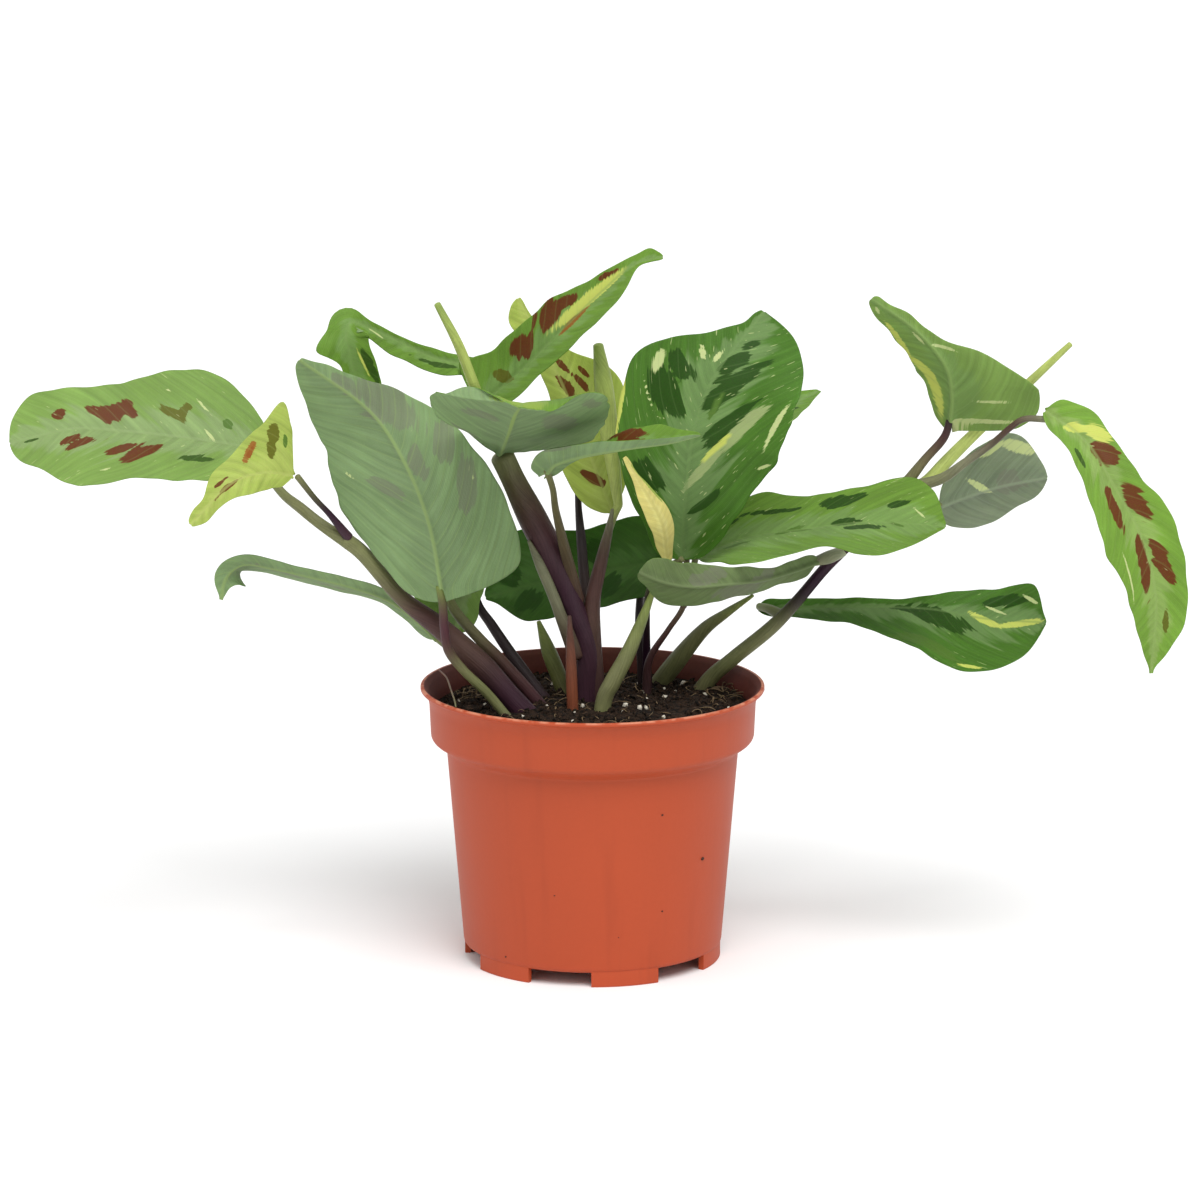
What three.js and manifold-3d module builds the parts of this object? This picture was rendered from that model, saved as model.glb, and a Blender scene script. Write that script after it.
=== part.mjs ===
// A prayer plant in a round plastic nursery pot.
// Millimetres, +Z up. The pot's feet stand on z = 0, its axis is x = y = 0, and the viewer stands at -Y.

import * as THREE from 'three';
import { mergeVertices } from 'three/addons/utils/BufferGeometryUtils.js';
import Module from 'manifold-3d';

const wasm = await Module();
wasm.setup();

// ---- Driving dimensions ----

const potHeight = 97;
const lipRadius = 60;
const lipWidth = 1.3;
const lipFlare = 5; // height over which the wall widens to the lip
const collarRadius = 57; // just under the lip's flare
const collarFootRadius = 56.5;
const collarBottom = 79.5;
const bodyTopRadius = 50.5; // under the collar's chamfer
const bodyTop = 75;
const bodyBottomRadius = 45.2;
const wallThickness = 1.1;
const floorHeight = 5; // underside of the pot's floor
const baseBevel = 1.8; // rounding between the floor and the wall
const bodyTurn = 6; // the body starts to turn outwards this far under its top
const chamferRounding = 1.6; // at the collar's foot
const potSegments = 48;

const footCount = 6;
const footRadius = 44.9;
const footThickness = 2;
const footWidthDegrees = 31;
const footSteps = 5; // along a foot's arc
const footSunk = 0.6; // how far a foot reaches into the floor
const firstFootDegrees = -135; // polar angle of one foot's middle

const drainCount = 6;
const drainRadius = 4;
const drainPitchRadius = 34;
const centreDrainRadius = 5;
const drainSides = 16;

const soilLevel = 88.5;
const soilMound = 1.5; // how far the middle stands above the edge
const soilRipple = 0.9;
const soilRings = [0.95, 0.75, 0.5, 0.25, 0]; // of the surface, as parts of its radius
const rootDepth = 2; // a stalk that starts at least this far under the surface is rooted
const clearance = 0.4; // between touching pieces

const bladeThickness = 0.8;
const bladeRows = 12;
const bladeColumns = 6;
const bladeBaseHalfWidth = 1; // where the blade leaves its stalk
const bladeTipHalfWidth = 0.6;
const baseLobeFade = 4; // how quickly the basal lobes die out along the blade

const stalkSides = 6;
const stepsBetweenPoints = 2;

// ---- Colours ----

const roughness = { pot: 0.45, soil: 1, plant: 0.5 };

const colours = {
  pot: 0xb9573b,
  soil: 0x2e2019,
  green: 0x6f9a4a,
  deepGreen: 0x3f6a2c,
  greyGreen: 0x7d9474,
  yellowGreen: 0xa9bf4c,
  cream: 0xd9d28a,
  purple: 0x4a3338,
  olive: 0x7c8350,
  dry: 0x9a5a40,
};

// ---- Leaves ----
// midrib: points from the stalk to the tip. face: where the upper side looks, from the stalk to the tip.
// left, right: half widths of the blade at even steps between its ends, seen from above, looking at the tip.
// fold: how far each half is raised at the midrib, in degrees. curl: how much further it bends by the margin.
// A half whose fold or curl changes on the way to the tip has a list of them. lobe: how far the blade's foot
// reaches back beside the stalk.

const leaves = [
  {
    name: 'leaf_left_long', colour: colours.green,
    midrib: [[-114, 2, 179], [-124, 0, 182], [-140, -3, 185], [-161, -7, 188], [-179, -8, 189],
      [-200.5, -8, 184]],
    face: [[0, -0.72, 0.7]],
    left: [6, 10, 14, 18, 20, 21, 26, 25, 15, 8], right: [9, 13, 19, 25, 26, 20, 16, 16, 15, 9],
    fold: [4, 4], curl: [8, 8],
  },
  {
    name: 'leaf_left_young', colour: colours.yellowGreen,
    midrib: [[-102, -30, 177], [-112, -36, 179], [-123, -42, 176], [-136, -46, 163]],
    face: [[-0.1, -0.85, 0.5]],
    left: [1, 3, 6, 7, 8, 8, 6, 4, 4, 2], right: [13, 18, 25, 16, 12, 8, 7, 3, 3, 2],
    fold: [10, 10], curl: [10, 10],
  },
  {
    name: 'leaf_left_arching', colour: colours.green,
    midrib: [[-36, 22, 205], [-46, 20, 207], [-56, 17, 210], [-67, 13, 216], [-76, 9, 221], [-83, 6, 224],
      [-85, 4, 220], [-84, 3, 214], [-80, 3, 198]],
    face: [[0, -0.8, 0.6]],
    left: [4, 4, 5, 6, 7, 7, 6, 4, 6, 8, 8, 8, 8, 7], right: [3, 3, 3, 3, 3, 2, 2, 3, 6, 7, 11, 5, 4, 4],
    fold: [6, 6], curl: [10, 10],
  },
  {
    name: 'leaf_left_broad', colour: colours.greyGreen,
    midrib: [[-52, -22, 136], [-56, -24, 159], [-64, -27, 181], [-76, -29, 199.5], [-99, -36, 218]],
    face: [[-0.1, 0.85, 0.5]],
    left: [27, 29, 25, 18, 8, 3], right: [13, 22, 29, 27, 22, 9],
    fold: [6, 6], curl: [14, 14], lobe: 5,
  },
  {
    name: 'leaf_left_low', colour: colours.greyGreen,
    midrib: [[-54, -3, 114], [-61, -3, 121], [-70, -4, 128], [-82, -6, 133], [-96, -8, 137],
      [-110, -12, 141], [-120, -15, 143], [-126, -17, 139], [-128, -18, 131]],
    face: [[0.1, 0.6, 0.8], [0.1, 0.6, 0.8], [0.1, 0.6, 0.8], [0.1, 0.6, 0.8], [0, 0.9, 0.4]],
    left: [1, 1, 2, 4, 4, 4, 5, 5, 3, 1], right: [6, 8, 8, 9, 12, 13, 15, 13, 4, 1],
    fold: [6, 6], curl: [10, 10],
  },
  {
    name: 'leaf_left_hanging', colour: colours.green,
    midrib: [[-43, 20, 131], [-45, 16, 125], [-47, 13, 118], [-49, 11, 113]],
    face: [[0, -0.8, 0.6]],
    left: [5, 6, 6, 7, 6, 3], right: [16, 18, 19, 15, 10, 3],
    fold: [5, 5], curl: [8, 8],
  },
  {
    name: 'leaf_top_pointed', colour: colours.green,
    midrib: [[-36, 8, 197], [-25, 4, 207], [-10, -2, 223], [5, -6, 238], [14, -8, 246], [24, -10, 249]],
    face: [[-0.5, -0.7, 0.5]],
    left: [16, 15, 13, 12, 11, 6, 4, 3, 4, 2], right: [3, 7, 12, 10, 12, 12, 8, 2, 1, 1],
    fold: [14, 14], curl: [10, 10], lobe: 5,
  },
  {
    name: 'leaf_centre_upright', colour: colours.yellowGreen,
    midrib: [[7, 22, 154], [0, 26, 171], [-7, 30, 189], [-16, 34, 209], [-26, 38, 227]],
    face: [[0.2, -0.85, 0.5]],
    left: [5, 10, 12, 13, 10, 7, 6, 7, 8, 5], right: [3, 7, 11, 14, 18, 19, 8, 2, 1, 1],
    fold: [8, 8], curl: [12, 12],
  },
  {
    name: 'leaf_front_high', colour: colours.greyGreen,
    midrib: [[-32, -6, 180], [-30, -22, 187], [-28, -40, 195], [-26, -56, 203], [-24, -68, 208],
      [-23, -74, 210], [-24, -77, 209]],
    face: [[0, 0.47, 0.88], [0, 0.47, 0.88], [0, 0.4, 0.9], [0, 0.2, 0.98], [0, -0.1, 0.98],
      [0, -0.6, 0.8]],
    left: [22, 30, 32, 33, 33, 31, 27, 17, 12, 9], right: [3, 7, 12, 22.5, 28, 29, 28, 24, 17, 10],
    fold: [3, 3], curl: [8, 12],
  },
  {
    name: 'leaf_right_broad', colour: colours.deepGreen,
    midrib: [[31, -2, 142], [32, -7, 164], [35, -10, 189], [43, -7, 209], [59, 3, 228]],
    face: [[0, -0.85, 0.45]],
    left: [8, 11, 15, 21, 26, 28, 26, 11, 4, 2], right: [7, 12, 17, 22, 30, 32, 32, 30, 24, 15],
    fold: [6, 6], curl: [12, 12],
  },
  {
    name: 'leaf_cream', colour: colours.cream,
    midrib: [[26, -12, 143], [24, -15, 157], [18, -17, 169], [11, -18, 181]],
    face: [[0.3, -0.9, 0.2]],
    left: [2, 4, 5, 4, 2, 1], right: [2, 3, 4, 3, 1, 1],
    fold: [3, 3], curl: [5, 5],
  },
  {
    name: 'leaf_right_spreading', colour: colours.green,
    midrib: [[36, 12, 140], [53, 5, 148], [74, -4, 153], [96, -12, 157], [121, -20, 157]],
    face: [[0, -0.38, 0.92]],
    left: [8, 14, 19, 22, 18, 17, 19, 23, 18, 6], right: [3, 10, 18, 26, 29, 19, 24, 30, 22, 7],
    fold: [6, 6], curl: [10, 10],
  },
  {
    name: 'leaf_front_low', colour: colours.greyGreen,
    midrib: [[78, 8, 139], [69, 0, 137.5], [58, -12, 137], [47, -21, 137.5], [35, -26, 137.5],
      [25, -29, 139.5], [16, -31, 143.5]],
    face: [[0, 0.9, 0.4]],
    left: [3, 4, 4, 4, 6, 7, 9, 9, 8, 6], right: [6, 7, 7, 7, 8, 9, 10, 9, 5, 3],
    fold: [4, 4], curl: [10, 10],
  },
  {
    name: 'leaf_back_shaded', colour: colours.deepGreen,
    midrib: [[22, 32, 134], [3, 40, 129], [-16, 42, 125], [-38, 42, 119]],
    face: [[0, -0.8, 0.6]],
    left: [14, 15, 16, 16, 15, 4], right: [14, 18, 16, 18, 20, 6],
    fold: [5, 5], curl: [10, 10], lobe: 6,
  },
  {
    name: 'leaf_right_low', colour: colours.deepGreen,
    midrib: [[59, 33, 117], [92, 25, 119], [117, 18, 120], [137, 11, 118], [158, 4, 118]],
    face: [[0, -0.55, 0.83]],
    left: [4, 4, 4, 4, 4, 8, 12, 15, 16, 5], right: [4, 6, 8, 11, 19, 26, 30, 31, 26, 17],
    fold: [4, 4], curl: [10, 10],
  },
  {
    name: 'leaf_right_high', colour: colours.greyGreen,
    midrib: [[125, 20, 187], [125, 14, 197], [122, 8, 209], [111, 4, 222], [96, 0, 233]],
    face: [[0.2, 0.85, 0.3]],
    left: [20, 26, 30, 29, 18, 7, 3, 3, 2, 2], right: [3, 6, 8, 10, 12, 12, 10, 8, 6, 3],
    fold: [6, 6], curl: [10, 10], lobe: 5,
  },
  {
    name: 'leaf_right_hanging', colour: colours.green,
    midrib: [[156, -6, 195], [169, -12, 186], [179, -18, 171], [189, -20, 152], [194, -20, 131],
      [193, -18, 105]],
    face: [[0.3, -0.9, 0.3]],
    left: [6, 8, 9, 8.5, 10, 13, 12, 11, 7, 1.5], right: [3, 6, 7, 9.5, 12, 16, 13, 10, 5, 1.5],
    fold: [6, 6], curl: [10, 10],
  },
  {
    name: 'leaf_right_rear', colour: colours.greyGreen,
    midrib: [[122, 32, 154], [131, 38, 156], [145, 44, 159], [161, 48, 161]],
    face: [[0, 0.9, 0.4]],
    left: [5, 11, 16, 18, 12, 8], right: [8, 11, 15, 19, 18, 8],
    fold: [6, 6], curl: [10, 10],
  },
  {
    name: 'leaf_front_narrow', colour: colours.green,
    midrib: [[-15, -32, 179], [-12, -38, 183], [-3, -45, 187], [7, -52, 190], [16, -56, 192],
      [26, -60, 194], [36, -63, 197]],
    face: [[0, 0.9, 0.5], [0, 0.6, 0.8], [0, 0.1, 1], [0, 0, 1], [0, 0, 1]],
    left: [4, 6, 7, 8, 7, 3], right: [6, 6, 5, 4, 4, 3],
    fold: [[5, 15, 40, 40, 30], [5, 15, 35, 35, 20]], curl: [10, 10], lobe: 6,
  },
  {
    name: 'leaf_rear_left', colour: colours.green,
    midrib: [[-51, 6, 139], [-57, 26, 150], [-67, 50, 159], [-78, 72, 166]],
    face: [[0, -0.2, 0.98]],
    left: [8, 15, 19, 18, 13, 5], right: [8, 15, 19, 18, 13, 5],
    fold: [6, 6], curl: [10, 10],
  },
  {
    name: 'leaf_rear_right', colour: colours.green,
    midrib: [[34, 22, 160], [46, 40, 171], [62, 58, 181], [81, 72, 188]],
    face: [[-0.2, -0.3, 0.9]],
    left: [8, 15, 18, 16, 10, 3], right: [8, 15, 18, 16, 10, 3],
    fold: [6, 6], curl: [10, 10],
  },
  {
    name: 'leaf_rear_centre', colour: colours.green,
    midrib: [[-5, 34, 165], [-2, 50, 171], [3, 66, 175], [7, 80, 178]],
    face: [[0, -0.2, 0.98]],
    left: [8, 14, 17, 16, 11, 4], right: [8, 14, 17, 16, 11, 4],
    fold: [6, 6], curl: [10, 10],
  },
];

// ---- Shoots ----
// Each shoot is one grown piece: its stalks and sheaths, fused where they spring from one another.
// path: points along a stalk, up to the leaf it bears. radii: its radius at even steps of that path. gap: how
// far the stalk ends short of its leaf. A path that starts under the soil's surface is rooted, and has a hole
// in the soil.

const shoots = [
  {
    name: 'shoot_main', colour: colours.purple,
    stalks: [
      { path: [[-2.5, 6, 78.5], [-2, 6, 93.5], [-2, 5, 110], [-7.5, 4, 126], [-13.5, 2, 141],
        [-20.5, 0, 155.5], [-27, -3, 169.5], [-31, -5, 178.5]],
        radii: [4.3, 4.3, 3.8, 3.7, 4.8, 5.1, 4.2, 4.2], gap: 1.3 },
      { path: [[-31, -5, 177.5], [-31.5, -5, 179], [-32, -6, 180]], radii: [2.6, 2, 1.4], gap: 1.5 },
      { path: [[-30, -2, 176], [-33.5, 3, 188.5], [-36, 8, 197]], radii: [2, 1.6, 1.3], gap: 4.6 },
      { path: [[-29, -1, 174.5], [-31, 10, 185], [-34, 21, 195], [-36.5, 22, 205.5]],
        radii: [2, 1.5, 1.3, 1.3], gap: 3 },
      { path: [[-31, -3, 177], [-35.5, -3, 190], [-41, -10, 205.5]], radii: [1.8, 1.5, 1.9], gap: 3.4 },
      { path: [[0.5, 7, 77], [0, 7, 93.5], [-0.5, 6, 111.5], [0, 6, 125.5], [3, 7, 139], [5.5, 8, 149.5],
        [7, 8, 157.5]],
        radii: [4.4, 4.3, 3.6, 2.8, 2.2, 1.5, 0.6] },
      { path: [[-1, 8, 126.5], [3.5, 9, 143], [7, 9, 154], [9, 9, 159]],
        radii: [1.6, 1.5, 1.4, 1.6], gap: 2.2 },
      { path: [[-1, 8, 107.5], [-1.5, 11, 117.5], [-3, 18, 132], [-4, 24, 143.5], [-5, 29, 155],
        [-5, 34, 165]],
        radii: [2.4, 2.2, 1.9, 1.7, 1.2, 1.3], gap: 1.8 },
      { path: [[-5, 5, 126], [-9, -2, 143], [-12.5, -14, 161], [-13.5, -25, 171], [-15.5, -32, 179]],
        radii: [2.2, 2, 1.3, 1.1, 1.2], gap: 6.2 },
      { path: [[-5.5, 4, 106.5], [-10.5, 2, 119.5], [-13.5, 1, 128], [-18, -1, 139.5], [-22, -3, 148.5]],
        radii: [3, 2.2, 2, 1.9, 0.6] },
    ],
  },
  {
    name: 'sheath_dry', colour: colours.dry,
    stalks: [
      { path: [[-6.5, -8, 80.5], [-7, -8, 93], [-7.5, -7, 107], [-8, -6, 122.5]],
        radii: [1.9, 2, 1.8, 0.7] },
    ],
  },
  {
    name: 'shoot_left', colour: colours.olive,
    stalks: [
      { path: [[-16.5, -7, 80.5], [-28.5, -8, 94], [-39, -9, 106.5], [-53, -10, 119.5], [-66, -12, 130.5],
        [-78.5, -15, 146], [-85, -17, 152]],
        radii: [4.4, 4.1, 4.1, 3.7, 2.8, 2.7, 2.7] },
      { path: [[-83.5, -17, 150.5], [-93.5, -15, 157], [-100.5, -12, 162], [-107, -6, 166], [-112, -1, 172],
        [-113.5, 2, 179]],
        radii: [2.4, 2, 1.9, 1.6, 1.4, 1.3], gap: 2.2 },
      { path: [[-84, -18, 153], [-90, -21, 161.5], [-95, -25, 168], [-100.5, -30, 176.5]],
        radii: [1.8, 1.1, 1, 1.1], gap: 2.2 },
      { path: [[-47.5, -9.5, 113], [-51, -6, 113], [-54, -3, 114]], radii: [2.4, 1.8, 1.3], gap: 1.9 },
    ],
  },
  {
    name: 'stalk_left_broad', colour: colours.olive,
    stalks: [
      { path: [[-26.5, -14, 84], [-31, -15, 90.5], [-37, -16, 98], [-44.5, -18, 106], [-49.5, -19, 113],
        [-51, -20, 121], [-51.5, -21, 130], [-52.5, -22, 136.5]],
        radii: [1.9, 1.7, 1.7, 1.6, 1.7, 1.6, 1.5, 1.4], gap: 6.5 },
    ],
  },
  {
    name: 'stalk_rear_left', colour: colours.purple,
    stalks: [
      { path: [[-11.5, 1, 78.5], [-18.5, 1, 89.5], [-32, 0, 105.5], [-39, -1, 113], [-48, -2, 124],
        [-50.5, 2, 131], [-51, 6, 139]],
        radii: [2.4, 2.3, 2.1, 2, 1.8, 1.5, 1.3], gap: 2 },
    ],
  },
  {
    name: 'stalk_left_hanging', colour: colours.purple,
    stalks: [
      { path: [[-7, 10, 76.5], [-16.5, 11, 88.5], [-23.5, 13, 97.5], [-30, 15, 106.5], [-35.5, 17, 114.5],
        [-40, 19, 121], [-43, 20, 131]],
        radii: [2.4, 2.3, 2.2, 2, 1.8, 1.5, 1.2], gap: 3.4 },
    ],
  },
  {
    name: 'sheath_left', colour: colours.olive,
    stalks: [
      { path: [[-8.5, 17, 74.5], [-9.5, 17, 87.5], [-11.5, 18, 94.5], [-15.5, 20, 104.5], [-19, 24, 114]],
        radii: [3.4, 3, 2.9, 2.6, 0.8] },
    ],
  },
  {
    name: 'sheath_right', colour: colours.olive,
    stalks: [
      { path: [[2.5, -8, 80.5], [4, -7.5, 93], [7, -7, 99.5], [12, -5, 108.5], [16.5, -2, 118.5],
        [21.5, 2, 131]],
        radii: [3, 2.9, 3, 2.7, 2, 0.8] },
    ],
  },
  {
    name: 'shoot_back', colour: colours.purple,
    stalks: [
      { path: [[18, 28, 72], [18, 28, 85], [17.5, 28, 99.5], [16.5, 29, 113.5], [17.5, 31, 125.5],
        [22, 32, 134]],
        radii: [2.1, 2, 1.8, 1.3, 1.2], gap: 7 },
      { path: [[20, 26, 72.5], [19.5, 26, 85], [19, 25, 100], [19, 20, 115.5], [19.5, 14, 126],
        [23.5, 6, 135], [31, -2, 142]],
        radii: [2.1, 2, 1.6, 1.2, 1.2, 1.3, 1.2], gap: 2.2 },
      { path: [[21.5, 9, 131.5], [24, -2, 137.5], [26, -12, 143]], radii: [1.3, 1.1, 1.1], gap: 2.2 },
    ],
  },
  {
    name: 'shoot_right', colour: colours.purple,
    stalks: [
      { path: [[18.5, 17, 76.5], [19, 18, 90.5], [20, 17, 102], [26.5, 15, 113], [31.5, 14, 121],
        [34.5, 13, 131.5], [36, 12, 140]],
        radii: [1.9, 1.7, 1.3, 1, 1, 1, 1.2], gap: 2 },
      { path: [[32, 14, 121.5], [33, 17, 138], [34, 22, 160]], radii: [1, 1.1, 1.3], gap: 2 },
    ],
  },
  {
    name: 'shoot_front_low', colour: colours.olive,
    stalks: [
      { path: [[17, 40, 69], [22, 37, 85.5], [30, 31, 98.5], [39, 24, 111], [47, 18, 118.5], [56, 12, 126]],
        radii: [3.5, 3.4, 3.3, 2.4, 1.6, 0.6] },
    ],
  },
  {
    name: 'shoot_far_right', colour: colours.olive,
    stalks: [
      { path: [[29.5, 30, 71.5], [40, 26, 91], [49, 21, 101], [62.5, 18, 113], [71.5, 18, 122.5],
        [81, 18, 134], [90, 18, 143.5], [110, 18, 165.5]],
        radii: [4.2, 3, 2.6, 2.5, 2.1, 2, 2, 2.2] },
      { path: [[67, 19, 117], [62.5, 26, 118], [59, 33, 117.5]], radii: [2.2, 1.7, 1.4], gap: 4.8 },
      { path: [[109, 18, 164], [116, 19, 173], [121.5, 20, 179], [123.5, 20, 182.5], [124.5, 20, 186.5]],
        radii: [2.2, 1.6, 1.5, 1.4, 1.3], gap: 2.6 },
      { path: [[107.5, 18, 163], [121, 14, 167], [129.5, 9, 174], [138, 5, 181], [144.5, 0, 188],
        [149, -3, 191.5], [156, -6, 192]],
        radii: [2.2, 1.9, 1.5, 1.2, 1.1, 1.1, 1.2], gap: 2 },
      { path: [[107.5, 18, 162.5], [115.5, 26, 158.5], [122, 32, 154]], radii: [2, 1.6, 1.4], gap: 2 },
      { path: [[87.5, 18, 140.5], [82.5, 13, 139.5], [77.5, 8, 139]], radii: [1.9, 2.3, 1.6], gap: 2.2 },
    ],
  },
  {
    name: 'rolled_leaf_left', colour: colours.yellowGreen,
    stalks: [
      { path: [[-41, -10, 205.5], [-46, -11, 219], [-53, -12, 233]], radii: [1.9, 1.7, 1.2] },
    ],
  },
  {
    name: 'rolled_leaf_centre', colour: colours.yellowGreen,
    stalks: [
      { path: [[9, 9, 159], [6, 9, 182], [4, 9, 200], [2, 10, 215]], radii: [1.6, 3, 3.3, 1.8] },
    ],
  },
  {
    name: 'rolled_leaf_right', colour: colours.yellowGreen,
    stalks: [
      { path: [[115, 22, 164.5], [123.5, 24, 171], [133, 27, 180], [155.5, 30, 201], [167, 30, 212]],
        radii: [2.3, 2.3, 2.1, 1.5, 1] },
    ],
  },
];

// ---- Curves ----

// A smooth curve through the points: uniform Catmull-Rom.
function curveThrough(points) {
  const vectors = points.map((point) => new THREE.Vector3(...point));
  return new THREE.CatmullRomCurve3(vectors, false, 'catmullrom', 0.5);
}

// The same curve through single numbers.
function valueAlong(values, u) {
  return curveThrough(values.map((value) => [value, 0, 0])).getPoint(u).x;
}

// An angle that is one number or changes along the leaf.
function angleAlong(degrees, t) {
  return THREE.MathUtils.degToRad(Array.isArray(degrees) ? valueAlong(degrees, t) : degrees);
}

// ---- Solids ----

// A closed mesh as a solid that can be joined and cut.
function solidFrom(geometry) {
  const bare = geometry.clone();
  bare.deleteAttribute('normal');
  bare.deleteAttribute('uv');
  const merged = mergeVertices(bare, 1e-4);
  const index = merged.index.array;
  const triangles = [];
  for (let i = 0; i < index.length; i += 3) {
    const [a, b, c] = [index[i], index[i + 1], index[i + 2]];
    if (a !== b && b !== c && c !== a) triangles.push(a, b, c);
  }
  return new wasm.Manifold(new wasm.Mesh({
    numProp: 3,
    vertProperties: new Float32Array(merged.attributes.position.array),
    triVerts: new Uint32Array(triangles),
  }));
}

function geometryFrom(solid) {
  const mesh = solid.getMesh();
  const geometry = new THREE.BufferGeometry();
  geometry.setAttribute('position', new THREE.BufferAttribute(new Float32Array(mesh.vertProperties), 3));
  geometry.setIndex(new THREE.BufferAttribute(new Uint32Array(mesh.triVerts), 1));
  geometry.computeVertexNormals();
  return geometry;
}

function joined(solids) {
  return solids.reduce((whole, solid) => whole.add(solid));
}

// ---- Pot ----

// Turned about +Z from a profile of [radius, height] points that starts and ends on the axis.
function turned(profile, segments) {
  const points = profile.map(([radius, height]) => new THREE.Vector2(radius, height));
  return new THREE.LatheGeometry(points, segments).rotateX(Math.PI / 2);
}

// The inner side follows the outer one over the floor, the collar's chamfer and the lip's flare.
function potProfile() {
  const inner = (radius) => radius - wallThickness;
  const floorTop = floorHeight + wallThickness;
  const flareFoot = potHeight - lipFlare;
  return [
    [0, floorHeight],
    [bodyBottomRadius - baseBevel, floorHeight],
    [bodyBottomRadius - 0.3 * baseBevel, floorHeight + 0.3 * baseBevel],
    [bodyBottomRadius, floorHeight + baseBevel],
    [bodyTopRadius, bodyTop - bodyTurn],
    [bodyTopRadius + 0.5, bodyTop],
    [collarFootRadius - 1, collarBottom - chamferRounding],
    [collarFootRadius, collarBottom],
    [collarRadius, flareFoot],
    [lipRadius - 1.7, potHeight - 1.9],
    [lipRadius, potHeight - 1.1],
    [lipRadius, potHeight - 0.3],
    [lipRadius - 0.3, potHeight],
    [lipRadius - lipWidth, potHeight],
    [lipRadius - 2.9, potHeight - 1.7],
    [inner(collarRadius), flareFoot - 0.2],
    [inner(collarFootRadius), collarBottom],
    [inner(collarFootRadius) - 1, collarBottom - chamferRounding - 0.2],
    [inner(bodyTopRadius) + 0.1, bodyTop - 0.9],
    [inner(bodyTopRadius) - 0.4, bodyTop - bodyTurn],
    [inner(bodyBottomRadius), floorTop + baseBevel],
    [inner(bodyBottomRadius) - 1.2, floorTop],
    [0, floorTop],
  ];
}

// A curved tab under the floor: an arc with thickness, drawn flat and raised to the floor.
function footGeometry(middleDegrees) {
  const from = THREE.MathUtils.degToRad(middleDegrees - footWidthDegrees / 2);
  const to = THREE.MathUtils.degToRad(middleDegrees + footWidthDegrees / 2);
  const outline = new THREE.Shape();
  outline.absarc(0, 0, footRadius, from, to, false);
  outline.absarc(0, 0, footRadius - footThickness, to, from, true);
  const settings = { depth: floorHeight + footSunk, bevelEnabled: false, curveSegments: footSteps };
  return new THREE.ExtrudeGeometry(outline, settings);
}

function drainSolid(radius, x, y) {
  const cylinder = new THREE.CylinderGeometry(radius, radius, wallThickness * 4, drainSides);
  return solidFrom(cylinder.rotateX(Math.PI / 2).translate(x, y, floorHeight + wallThickness / 2));
}

function potSolid() {
  const wall = solidFrom(turned(potProfile(), potSegments));
  const feet = [];
  for (let i = 0; i < footCount; i++) {
    feet.push(solidFrom(footGeometry(firstFootDegrees + (i * 360) / footCount)));
  }
  const drains = [drainSolid(centreDrainRadius, 0, 0)];
  for (let i = 0; i < drainCount; i++) {
    const angle = THREE.MathUtils.degToRad(firstFootDegrees + ((i + 0.5) * 360) / drainCount);
    const [x, y] = [drainPitchRadius * Math.cos(angle), drainPitchRadius * Math.sin(angle)];
    drains.push(drainSolid(drainRadius, x, y));
  }
  return joined([wall, ...feet]).subtract(joined(drains));
}

// ---- Soil ----

// Level of the soil's surface: a low mound with ripples that die out at the wall.
function soilHeight(x, y) {
  const reach = Math.min(Math.hypot(x, y) / (collarFootRadius - 2), 1);
  const ripples = Math.sin(x * 0.21 + 1) * Math.cos(y * 0.24) + 0.6 * Math.sin(x * 0.09 - y * 0.31 + 2);
  return soilLevel + soilMound * (1 - reach * reach) + soilRipple * ripples * (1 - reach ** 6);
}

// The soil fills the pot at a small gap from its wall. The rings of its surface start out level and are then
// raised to the mound.
function soilSolid(holes) {
  const gap = wallThickness + clearance;
  const collarSlope = (collarRadius - collarFootRadius) / (potHeight - lipFlare - collarBottom);
  const edge = collarFootRadius + (soilLevel - collarBottom) * collarSlope - gap;
  const levelRings = soilLevel + 1;
  const profile = [
    [0, floorHeight + gap],
    [bodyBottomRadius - gap - baseBevel, floorHeight + gap],
    [bodyBottomRadius - gap, floorHeight + gap + 2],
    [bodyTopRadius - gap - 0.5, bodyTop - bodyTurn],
    [bodyTopRadius - gap, bodyTop - 0.9],
    [collarFootRadius - gap - 1.2, collarBottom - chamferRounding],
    [collarFootRadius - gap - 0.1, collarBottom],
    [edge, soilLevel],
    ...soilRings.map((part) => [edge * part, levelRings]),
  ];
  const geometry = turned(profile, potSegments);
  const position = geometry.attributes.position;
  for (let i = 0; i < position.count; i++) {
    const [x, y, z] = [position.getX(i), position.getY(i), position.getZ(i)];
    if (z > soilLevel + 0.5) position.setZ(i, soilHeight(x, y));
  }
  return solidFrom(geometry).subtract(joined(holes));
}

// ---- Stalks ----

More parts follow.
